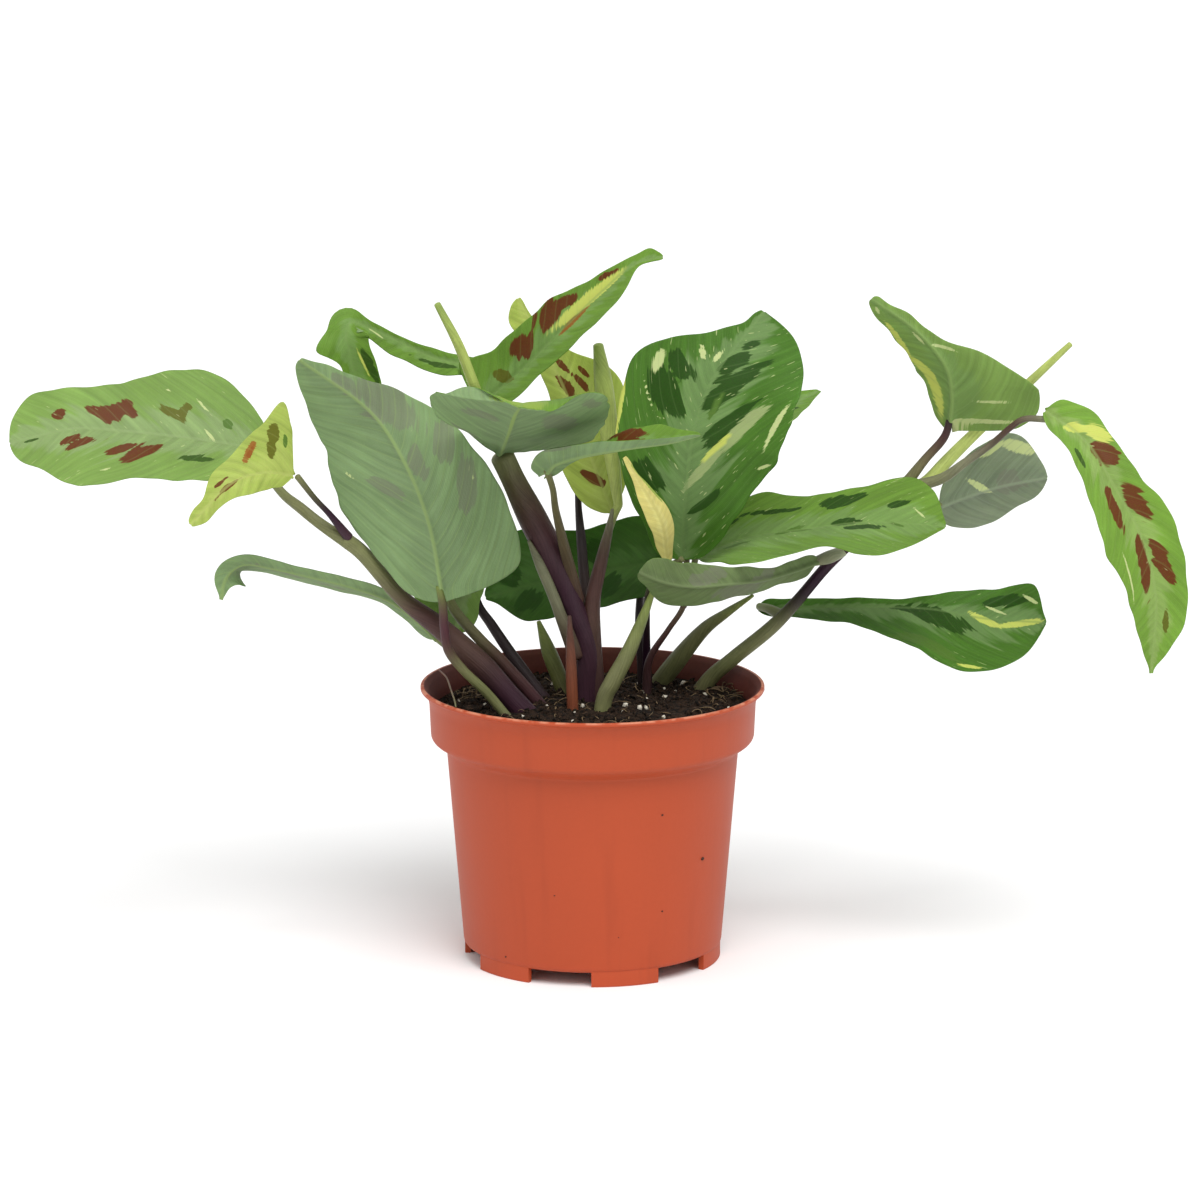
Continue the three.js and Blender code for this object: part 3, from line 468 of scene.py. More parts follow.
# lengths in mm; nearPerlite and fibreNests are places (x, y); ripples are (height, shortest and longest wave)
soilLook = {
    "level": 88.5, "mound": 1.5, "gap": 0.05, "seed": 7, "rings": 110, "ringCrowding": 0.8, "segments": 220,
    "ripples": [(0.9, (16, 40)), (0.7, (5, 11)), (0.35, (1.6, 3.6))],
    "peat": srgb(48, 34, 24), "peatLight": srgb(92, 70, 52), "peatDark": srgb(18, 12, 8), "peatScale": 420.0,
    "crumbScale": 900.0, "patches": (90.0, 0.7), "grain": (1500.0, 0.9), "roughness": 0.95, "specular": 0.2,
    "crumbs": 1500, "crumbSize": (0.5, 1.7), "crumbStretch": (0.5, 1.2),
    "perlite": 46, "perliteSize": (0.4, 1.1), "nearPerliteSize": 1.2, "perliteStretch": (0.7, 1.2),
    "perliteColour": srgb(214, 206, 190), "perliteLift": 0.4,
    "nearPerlite": [(25.4, 11.7), (39.5, 14.8), (32, 33.6), (38, 33), (16.5, -9.7), (22, -30), (34, -27)],
    "fibres": 110, "fibresPerNest": 9, "nestSpread": 1.6, "nestLift": 0.6, "fibreLift": 0.3,
    "fibreLength": (2.5, 9), "fibreRadius": (0.1, 0.32), "fibreBend": 1.2, "fibreArch": 1.6,
    "fibreColour": srgb(120, 98, 70),
    "fibreNests": [(-42, 15), (-45, 17), (-38, 11), (-31, 6), (50, 21), (47, 27), (44, 9)],
}
soilLook["edge"] = outerRadius(soilLook["level"], potLook) - potLook["wall"] - soilLook["gap"]


def rippleField(x, y, seed, wavelengths, count=28):
    # a sum of plane waves in random directions and phases, each as high as its wavelength is long; about -1..1
    dice = np.random.default_rng(seed)
    turn = dice.uniform(0, 2 * math.pi, count)
    size = dice.uniform(*wavelengths, count)
    phase = dice.uniform(0, 2 * math.pi, count)
    across = x[..., None] * np.cos(turn) + y[..., None] * np.sin(turn)
    waves = np.sin(across * 2 * math.pi / size + phase) * size
    return waves.sum(-1) / (size.sum() * 0.35)


def soilSurface(x, y, look):
    # a low mound with lumps of three sizes that flatten at the wall
    reach = np.clip(np.hypot(x, y) / look["edge"], 0, 1)
    ripples = sum(high * rippleField(x, y, look["seed"] + k, waves) for k, (high, waves) in
                  enumerate(look["ripples"]))
    return look["level"] + look["mound"] * (1 - reach**2) + ripples * (1 - reach**8)


def soilMaterial(name, scale, look):
    # cells of light and dark crumbs over cloudy peat; scale is cells per metre
    material, tree, shader = newMaterial(name, look["roughness"])
    position = objectPosition(tree)
    cloud = mottled(tree, look["peat"], position, look["patches"], look["grain"])
    cells = addNode(tree, "TexVoronoi", {"Vector": position, "Scale": scale}).outputs
    bright = times(tree, ramp(tree, cells["Color"], 0.72, 0.95), 0.55)
    base = mixColour(tree, bright, cloud["Color"], look["peatLight"])
    base = mixColour(tree, ramp(tree, cells["Distance"], 0.35, 0.8), base, look["peatDark"])
    wireShader(tree, shader, base, look["specular"], Height=calc(tree, "ADD", cells["Distance"], cloud["Grain"]),
               Strength=0.9, Distance=0.0008)
    return material


def makeSoil(look):
    # (radius, height) from the middle of the underside, up along the pot's inner wall and over the surface, whose
    # points all start at one height that stands for "not set yet"
    gap = potLook["wall"] + look["gap"]
    under = potLook["floor"] + gap + 0.4
    notSet = 100.0
    surface = np.linspace(1, 0, look["rings"] + 1)[1:-1] ** look["ringCrowding"] * look["edge"]
    profile = np.array([[0, under], [potLook["base"] - gap - 1.2, under], [potLook["base"] - gap - 0.2, under + 2.5],
                        [potLook["body"] - gap, potLook["bodyTurn"]],
                        [potLook["body"] + 0.4 - gap, potLook["bodyTop"]],
                        [potLook["collarFoot"] - gap - 0.1, potLook["collarBottom"] + 0.4],
                        [look["edge"], look["level"] - 1], *[[radius, notSet] for radius in surface], [0, notSet]])
    points, faces = turnedMesh(profile, look["segments"])
    top = points[:, 2] == notSet
    points[top, 2] = soilSurface(points[top, 0], points[top, 1], look)
    soil = pieceMesh("soilBed", points, faces, [soilMaterial("peat", look["peatScale"], look)])
    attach(soil, "root")
    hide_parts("soil")


def randomTurns(dice, count):
    # one random rotation matrix each, from random unit quaternions
    w, x, y, z = unit(dice.normal(size=(count, 4))).T
    return np.stack([
        np.stack([1 - 2 * (y * y + z * z), 2 * (x * y - z * w), 2 * (x * z + y * w)], -1),
        np.stack([2 * (x * y + z * w), 1 - 2 * (x * x + z * z), 2 * (y * z - x * w)], -1),
        np.stack([2 * (x * z - y * w), 2 * (y * z + x * w), 1 - 2 * (x * x + y * y)], -1)], 1)


def lumps(dice, centres, sizes, stretch):
    # icosahedra of about unit radius with uneven corners, stretched, sized, turned at random and set at the centres
    golden = (1 + 5**0.5) / 2
    corners = np.array([(-1, golden, 0), (1, golden, 0), (-1, -golden, 0), (1, -golden, 0), (0, -1, golden),
                        (0, 1, golden), (0, -1, -golden), (0, 1, -golden), (golden, 0, -1), (golden, 0, 1),
                        (-golden, 0, -1), (-golden, 0, 1)]) / 1.9
    faces = np.array([(0, 11, 5), (0, 5, 1), (0, 1, 7), (0, 7, 10), (0, 10, 11), (1, 5, 9), (5, 11, 4), (11, 10, 2),
                      (10, 7, 6), (7, 1, 8), (3, 9, 4), (3, 4, 2), (3, 2, 6), (3, 6, 8), (3, 8, 9), (4, 9, 5),
                      (2, 4, 11), (6, 2, 10), (8, 6, 7), (9, 8, 1)])
    count = len(centres)
    shapes = corners[None] * dice.uniform(0.65, 1.25, (count, 12, 1)) * dice.uniform(*stretch, (count, 1, 3))
    shapes = shapes * np.asarray(sizes)[:, None, None]
    points = np.einsum("nij,nkj->nki", randomTurns(dice, count), shapes) + np.asarray(centres)[:, None]
    allFaces = faces[None] + 12 * np.arange(count)[:, None, None]
    return points.reshape(-1, 3), allFaces.reshape(-1, 3)


def threads(dice, starts, lengths, thickness, bend, arch, steps=7):
    # thin three-sided strands: each bends along a random arc over the soil and is thinner at both ends
    count = len(starts)
    along = np.linspace(0, 1, steps)
    heading = dice.uniform(0, 2 * math.pi, count)[:, None] + bend * dice.normal(size=(count, 1)) * along
    step = (np.asarray(lengths) / (steps - 1))[:, None]
    x = starts[:, :1] + np.cumsum(np.cos(heading) * step, 1)
    y = starts[:, 1:2] + np.cumsum(np.sin(heading) * step, 1)
    z = starts[:, 2:] + np.sin(along * math.pi) * dice.uniform(0, 1, (count, 1)) * arch
    across = np.stack([-np.sin(heading), np.cos(heading), np.zeros_like(heading)], -1)
    up = np.array([0, 0, 1.0])
    thick = (np.asarray(thickness)[:, None] * (0.25 + 0.75 * np.sin(math.pi * (0.08 + 0.84 * along))))[..., None]
    centre = np.stack([x, y, z], -1)
    sides = [centre + thick * (across * math.cos(angle) + up * math.sin(angle)) for angle in (0.5, 2.6, 4.7)]
    points = np.stack(sides, 2).reshape(-1, 3)
    first = 3 * steps * np.arange(count)[:, None]
    quads = (gridQuads(steps, 3, wrap=True)[None] + first[..., None]).reshape(-1, 4)
    caps = np.vstack([first + [2, 1, 0], first + 3 * (steps - 1) + [0, 1, 2]])
    return points, quads.tolist() + caps.tolist()


def onSoil(places, look):
    return np.column_stack([places, soilSurface(places[:, 0], places[:, 1], look)])


def scatterOnSoil(dice, count, look, reach=0.98):
    turn = dice.uniform(0, 2 * math.pi, count)
    radius = np.sqrt(dice.uniform(0, 1, count)) * look["edge"] * reach
    return onSoil(np.stack([radius * np.cos(turn), radius * np.sin(turn)], 1), look)


def plainMaterial(name, colour, roughness):
    material, tree, shader = newMaterial(name, roughness)
    cloud = mottled(tree, colour, objectPosition(tree), (250.0, 0.3), (2200.0, 0.2))
    wireShader(tree, shader, cloud["Color"], Height=cloud["Grain"], Strength=0.5, Distance=0.0003)
    return material


def makeLitter(look):
    # loose crumbs, perlite and fibres; the order of the random draws fixes where each lies
    dice = np.random.default_rng(look["seed"] + 20)
    crumbs = scatterOnSoil(dice, look["crumbs"], look)
    crumbShapes = lumps(dice, crumbs, dice.uniform(*look["crumbSize"], len(crumbs)) ** 1.3, look["crumbStretch"])
    crumbPiece = pieceMesh("soilCrumbs", *crumbShapes, [soilMaterial("peatCrumb", look["crumbScale"], look)],
                           smooth=False)
    white = scatterOnSoil(dice, look["perlite"], look, 0.95)
    near = onSoil(np.array(look["nearPerlite"], float), look)
    white = np.vstack([white, near]) + [0, 0, look["perliteLift"]]
    sizes = np.concatenate([dice.uniform(*look["perliteSize"], look["perlite"]),
                            np.full(len(near), look["nearPerliteSize"])])
    perlitePiece = pieceMesh("soilPerlite", *lumps(dice, white, sizes, look["perliteStretch"]),
                             [plainMaterial("perlite", look["perliteColour"], 0.9)], smooth=False)
    nests = np.repeat(np.array(look["fibreNests"], float), look["fibresPerNest"], axis=0)
    nests = onSoil(nests + dice.normal(0, look["nestSpread"], nests.shape), look) + [0, 0, look["nestLift"]]
    starts = np.vstack([scatterOnSoil(dice, look["fibres"], look, 0.9), nests]) + [0, 0, look["fibreLift"]]
    lengths, radii = [dice.uniform(*look[key], len(starts)) for key in ("fibreLength", "fibreRadius")]
    fibrePiece = pieceMesh("soilFibres", *threads(dice, starts, lengths, radii, look["fibreBend"], look["fibreArch"]),
                           [plainMaterial("fibre", look["fibreColour"], 0.8)])
    for piece in (crumbPiece, perlitePiece, fibrePiece):
        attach(piece, "root")


makeSoil(soilLook)
makeLitter(soilLook)
makeSpecks(potLook)
print("soil made")

stalkTints = {
    "purple": srgb(60, 36, 46), "dark": srgb(44, 32, 33), "green": srgb(116, 130, 64), "olive": srgb(112, 114, 74),
    "brown": srgb(78, 56, 48), "pale": srgb(150, 156, 122), "dry": srgb(122, 68, 46), "grey": srgb(118, 118, 92),
    "young": srgb(168, 182, 98), "youngDark": srgb(142, 162, 84),
}

# path and radii in mm; tints from the soil to the end of each stalk
shoots = {
    "shoot_main": [
        ([[-2.5, 6, 78.5], [-2, 6, 93.5], [-2, 5, 110], [-7.5, 4, 126], [-13.5, 2, 141], [-20.5, 0, 155.5],
          [-27, -3, 169.5], [-31, -5, 178.5]], [4.3, 4.3, 3.8, 3.7, 4.8, 5.1, 4.2, 4.2],
          ["purple", "purple", "purple", "brown", "olive"]),
        ([[-31, -5, 177.5], [-31.5, -5, 179], [-32, -6, 180]], [2.6, 2, 1.4], ["brown", "olive"]),
        ([[-30, -2, 176], [-33.5, 3, 188.5], [-36, 8, 197]], [2, 1.6, 1.3], ["brown", "olive"]),
        ([[-29, -1, 174.5], [-31, 10, 185], [-34, 21, 195], [-36.5, 22, 205.5]], [2, 1.5, 1.3, 1.3],
          ["brown", "green"]),
        ([[-31, -3, 177], [-35.5, -3, 190], [-41, -10, 205.5]], [1.8, 1.5, 1.9], ["brown", "young"]),
        ([[0.5, 7, 77], [0, 7, 93.5], [-0.5, 6, 111.5], [0, 6, 125.5], [3, 7, 139], [5.5, 8, 149.5],
          [7, 8, 157.5]], [4.4, 4.3, 3.6, 2.8, 2.2, 1.5, 0.6], ["purple", "brown", "brown", "grey"]),
        ([[-1, 8, 126.5], [3.5, 9, 143], [7, 9, 154], [9, 9, 159]], [1.6, 1.5, 1.4, 1.6],
          ["brown", "olive", "young"]),
        ([[-1, 8, 107.5], [-1.5, 11, 117.5], [-3, 18, 132], [-4, 24, 143.5], [-5, 29, 155], [-5, 34, 165]],
          [2.4, 2.2, 1.9, 1.7, 1.2, 1.3], ["brown", "dark", "dark"]),
        ([[-5, 5, 126], [-9, -2, 143], [-12.5, -14, 161], [-13.5, -25, 171], [-15.5, -32, 179]],
          [2.2, 2, 1.3, 1.1, 1.2], ["brown", "olive"]),
        ([[-5.5, 4, 106.5], [-10.5, 2, 119.5], [-13.5, 1, 128], [-18, -1, 139.5], [-22, -3, 148.5]],
          [3, 2.2, 2, 1.9, 0.6], ["brown", "grey", "grey"]),
    ],
    "sheath_dry": [
        ([[-6.5, -8, 80.5], [-7, -8, 93], [-7.5, -7, 107], [-8, -6, 122.5]], [1.9, 2, 1.8, 0.7],
          ["dry", "dry", "brown"]),
    ],
    "shoot_left": [
        ([[-16.5, -7, 80.5], [-28.5, -8, 94], [-39, -9, 106.5], [-53, -10, 119.5], [-66, -12, 130.5],
          [-78.5, -15, 146], [-85, -17, 152]], [4.4, 4.1, 4.1, 3.7, 2.8, 2.7, 2.7],
          ["purple", "purple", "brown", "brown", "olive", "olive"]),
        ([[-83.5, -17, 150.5], [-93.5, -15, 157], [-100.5, -12, 162], [-107, -6, 166], [-112, -1, 172],
          [-113.5, 2, 179]], [2.4, 2, 1.9, 1.6, 1.4, 1.3], ["olive", "olive", "green"]),
        ([[-84, -18, 153], [-90, -21, 161.5], [-95, -25, 168], [-100.5, -30, 176.5]], [1.8, 1.1, 1, 1.1],
          ["purple", "dark", "olive"]),
        ([[-47.5, -9.5, 113], [-51, -6, 113], [-54, -3, 114]], [2.4, 1.8, 1.3], ["brown", "green"]),
    ],
    "stalk_left_broad": [
        ([[-26.5, -14, 84], [-31, -15, 90.5], [-37, -16, 98], [-44.5, -18, 106], [-49.5, -19, 113],
          [-51, -20, 121], [-51.5, -21, 130], [-52.5, -22, 136.5]], [1.9, 1.7, 1.7, 1.6, 1.7, 1.6, 1.5, 1.4],
          ["grey", "olive", "olive", "brown", "brown", "green"]),
    ],
    "stalk_rear_left": [
        ([[-11.5, 1, 78.5], [-18.5, 1, 89.5], [-32, 0, 105.5], [-39, -1, 113], [-48, -2, 124],
          [-50.5, 2, 131], [-51, 6, 139]], [2.4, 2.3, 2.1, 2, 1.8, 1.5, 1.3],
          ["purple", "brown", "olive", "green"]),
    ],
    "stalk_left_hanging": [
        ([[-7, 10, 76.5], [-16.5, 11, 88.5], [-23.5, 13, 97.5], [-30, 15, 106.5], [-35.5, 17, 114.5],
          [-40, 19, 121], [-43, 20, 131]], [2.4, 2.3, 2.2, 2, 1.8, 1.5, 1.2],
          ["purple", "dark", "dark", "dark"]),
    ],
    "sheath_left": [
        ([[-8.5, 17, 74.5], [-9.5, 17, 87.5], [-11.5, 18, 94.5], [-15.5, 20, 104.5], [-19, 24, 114]],
          [3.4, 3, 2.9, 2.6, 0.8], ["brown", "green"]),
    ],
    "sheath_right": [
        ([[2.5, -8, 80.5], [4, -7.5, 93], [7, -7, 99.5], [12, -5, 108.5], [16.5, -2, 118.5], [21.5, 2, 131]],
          [3, 2.9, 3, 2.7, 2, 0.8], ["olive", "olive", "green"]),
    ],
    "shoot_back": [
        ([[18, 28, 72], [18, 28, 85], [17.5, 28, 99.5], [16.5, 29, 113.5], [17.5, 31, 125.5], [22, 32, 134]],
          [2.1, 2, 1.8, 1.3, 1.2], ["dark", "dark", "dark"]),
        ([[20, 26, 72.5], [19.5, 26, 85], [19, 25, 100], [19, 20, 115.5], [19.5, 14, 126], [23.5, 6, 135],
          [31, -2, 142]], [2.1, 2, 1.6, 1.2, 1.2, 1.3, 1.2], ["dark", "dark", "olive"]),
        ([[21.5, 9, 131.5], [24, -2, 137.5], [26, -12, 143]], [1.3, 1.1, 1.1], ["olive", "young"]),
    ],
    "shoot_right": [
        ([[18.5, 17, 76.5], [19, 18, 90.5], [20, 17, 102], [26.5, 15, 113], [31.5, 14, 121],
          [34.5, 13, 131.5], [36, 12, 140]], [1.9, 1.7, 1.3, 1, 1, 1, 1.2], ["dark", "brown", "olive"]),
        ([[32, 14, 121.5], [33, 17, 138], [34, 22, 160]], [1, 1.1, 1.3], ["brown", "olive"]),
    ],
    "shoot_front_low": [
        ([[17, 40, 69], [22, 37, 85.5], [30, 31, 98.5], [39, 24, 111], [47, 18, 118.5], [56, 12, 126]],
          [3.5, 3.4, 3.3, 2.4, 1.6, 0.6], ["brown", "olive", "olive", "green"]),
    ],
    "shoot_far_right": [
        ([[29.5, 30, 71.5], [40, 26, 91], [49, 21, 101], [62.5, 18, 113], [71.5, 18, 122.5], [81, 18, 134],
          [90, 18, 143.5], [110, 18, 165.5]], [4.2, 3, 2.6, 2.5, 2.1, 2, 2, 2.2],
          ["brown", "olive", "olive", "dark", "purple", "brown"]),
        ([[67, 19, 117], [62.5, 26, 118], [59, 33, 117.5]], [2.2, 1.7, 1.4], ["olive", "green"]),
        ([[109, 18, 164], [116, 19, 173], [121.5, 20, 179], [123.5, 20, 182.5], [124.5, 20, 186.5]],
          [2.2, 1.6, 1.5, 1.4, 1.3], ["olive", "brown", "dark"]),
        ([[107.5, 18, 163], [121, 14, 167], [129.5, 9, 174], [138, 5, 181], [144.5, 0, 188], [149, -3, 191.5],
          [156, -6, 192]], [2.2, 1.9, 1.5, 1.2, 1.1, 1.1, 1.2], ["olive", "grey", "brown", "grey"]),
        ([[107.5, 18, 162.5], [115.5, 26, 158.5], [122, 32, 154]], [2, 1.6, 1.4], ["purple", "olive"]),
        ([[87.5, 18, 140.5], [82.5, 13, 139.5], [77.5, 8, 139]], [1.9, 2.3, 1.6], ["pale", "grey"]),
    ],
    "rolled_leaf_left": [
        ([[-41, -10, 205.5], [-46, -11, 219], [-53, -12, 233]], [1.9, 1.7, 1.2],
          ["young", "young", "youngDark"]),
    ],
    "rolled_leaf_centre": [
        ([[9, 9, 159], [6, 9, 182], [4, 9, 200], [2, 10, 215]], [1.6, 3, 3.3, 1.8],
          ["young", "young", "youngDark"]),
    ],
    "rolled_leaf_right": [
        ([[108.5, 19, 161], [116.5, 21, 164.5], [123.5, 24, 171], [133, 27, 180], [155.5, 30, 201],
          [167, 30, 212]], [2.2, 2.3, 2.3, 2.1, 1.5, 1], ["young", "young"]),
    ],
}

# spacing of the rings in mm; endLength is an end's length and endTip its smallest ring, over the stalk's radius
stalkLook = {
    "sides": 20, "spacing": 0.8, "fewestRings": 10, "endRings": 5, "endLength": 0.5, "endTip": 0.02,
    "lineStretch": (2.2, 0.09, 0.0), "lineShade": (0.8, 0.6), "patches": (160.0, 0.5), "grain": (1600.0, 0.2),
    "roughness": 0.42, "specular": 0.25,
}


def stalkMesh(path, radii, tints, look, sides):
    # rings square to the path, whose radius follows its list and shrinks at both ends like a flattened half ball;
    # strand is (way round, way along, 0) in mm
    length = np.linalg.norm(np.diff(curveAt(path, np.linspace(0, 1, 60)), axis=0), axis=1).sum()
    middle = np.linspace(0, 1, max(int(length / look["spacing"]), look["fewestRings"]))
    radius = curveAt(radii, middle)[:, 0]
    centre = curveAt(path, middle)
    along = tangentAt(path, middle)
    ends = look["endRings"]
    cap = np.linspace(0, 1, ends + 1)[:-1] * math.pi / 2
    outward = np.cos(cap)[:, None]
    shrink = np.maximum(np.sin(cap), look["endTip"])
    centre = np.vstack([centre[0] - along[0] * radius[0] * outward * look["endLength"], centre,
                        (centre[-1] + along[-1] * radius[-1] * outward * look["endLength"])[::-1]])
    along = np.vstack([np.repeat(along[:1], ends, 0), along, np.repeat(along[-1:], ends, 0)])
    radius = np.concatenate([radius[0] * shrink, radius, (radius[-1] * shrink)[::-1]])
    place = np.concatenate([np.zeros(ends), middle, np.ones(ends)])
    across = unit(np.cross(along, [0.0, 1.0, 0.0]))
    out = np.cross(across, along)
    angle = np.linspace(0, 2 * math.pi, sides, endpoint=False)
    ring = across[:, None] * np.cos(angle)[None, :, None] + out[:, None] * np.sin(angle)[None, :, None]
    points = (centre[:, None] + ring * radius[:, None, None]).reshape(-1, 3)
    rows = len(centre)
    faces = gridQuads(rows, sides, wrap=True).tolist()
    faces += [list(range(sides))[::-1], [(rows - 1) * sides + k for k in range(sides)]]
    colours = np.clip(curveAt([stalkTints[name] for name in tints], place), 0, 1)
    tint = np.repeat(colours[:, None], sides, 1).reshape(-1, 4)
    strand = np.stack([radius[:, None] * angle[None], np.repeat((place * length)[:, None], sides, 1),
                       np.zeros((rows, sides))], -1).reshape(-1, 3)
    return points, faces, tint, strand


def stalkMaterial(look):
    # the points' tint with fine lines along the stalk
    material, tree, shader = newMaterial("stalkSkin", look["roughness"])
    lines = noiseAt(tree, stretched(tree, attribute(tree, "strand", "Vector"), look["lineStretch"]), detail=3.0)
    cloud = mottled(tree, attribute(tree, "tint", "Color"), objectPosition(tree), look["patches"], look["grain"])
    base = brightened(tree, cloud["Color"], calc(tree, "MULTIPLY_ADD", lines, *look["lineShade"]))
    wireShader(tree, shader, base, look["specular"], Height=lines, Strength=0.5, Distance=0.0005)
    return material


def stalkPiece(name, stalks, look, sides):
    made = [stalkMesh(*stalk, look, sides) for stalk in stalks]
    points, faces = joinParts([part[:2] for part in made])
    values = {"tint": np.vstack([part[2] for part in made]), "strand": np.vstack([part[3] for part in made])}
    return pieceMesh(name, points, faces, [stalkSkin], values=values)


stalkSkin = stalkMaterial(stalkLook)
for node, stalks in shoots.items():
    piece = stalkPiece(node + "_live", stalks, stalkLook, stalkLook["sides"])
    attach(piece, "root")
    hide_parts(node)

# a thin root that lies over the pot's left rim
hairLook = {"path": [[-54, 20, 97.4], [-51, 6, 97.7], [-49, -12, 97.4], [-47.5, -27, 97.6], [-46.8, -36.5, 97.5]],
            "radii": [0.3, 0.35, 0.3, 0.25], "tints": ["dry", "olive"], "sides": 8}
rootHair = stalkPiece("rootHair", [(hairLook["path"], hairLook["radii"], hairLook["tints"])], stalkLook,
                      hairLook["sides"])
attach(rootHair, "root")
print("stalks made")


def palette(blade, band, vein):
    return {"blade": srgb(*blade), "band": srgb(*band), "vein": srgb(*vein)}


leafTops = {
    "bright": palette((112, 141, 68), (124, 146, 92), (134, 155, 102)),
    "fresh": palette((96, 130, 46), (108, 138, 72), (118, 146, 82)),
    "glossy": palette((104, 140, 50), (122, 148, 76), (134, 158, 90)),
    "deep": palette((64, 102, 30), (98, 126, 72), (106, 134, 78)),
    # shade is the blade's colour darkened as painted shade, for a leaf that lies in shadow
    "shade": palette((50, 82, 24), (66, 98, 42), (74, 104, 48)),
    "young": palette((148, 164, 78), (156, 170, 86), (168, 178, 100)),
    "lime": palette((148, 164, 74), (156, 170, 84), (166, 178, 98)),
    "cream": palette((196, 186, 112), (202, 194, 124), (182, 172, 96)),
}
leafUnders = {
    "grey": palette((118, 142, 98), (114, 136, 96), (134, 156, 98)),
    "dim": palette((98, 116, 72), (94, 110, 70), (112, 128, 86)),
    "ash": palette((116, 128, 102), (112, 124, 100), (132, 144, 118)),
    "green": palette((116, 144, 72), (112, 140, 76), (128, 154, 88)),
    "young": palette((150, 164, 84), (156, 168, 90), (168, 176, 106)),
}
markTints = {
    "brown": srgb(92, 36, 16), "olive": srgb(88, 88, 22), "dark": srgb(50, 76, 24), "deep": srgb(34, 64, 12),
    "fern": srgb(76, 106, 40), "orange": srgb(138, 80, 32), "yellow": srgb(190, 196, 96),
    "cream": srgb(184, 194, 134), "lime": srgb(132, 154, 68), "sage": srgb(146, 160, 106),
}

# kinds of the narrow bright marks, which lie over the broad ones; and the tint of all broad marks seen from below
streakKinds = ("yellow", "cream", "lime", "orange", "sage")
cloudTint = srgb(112, 112, 98)


def pairedMarks():
    # pairs of dark patches between the side veins, larger in the middle of the blade
    spots = []
    for t, size in ((0.16, 0.7), (0.34, 1.0), (0.52, 1.0), (0.7, 0.7)):
        spots += [(t, 0.2, t + 0.12, 0.62, 6 * size), (t - 0.03, -0.2, t + 0.09, -0.62, 6 * size)]
    return {"dark": spots}


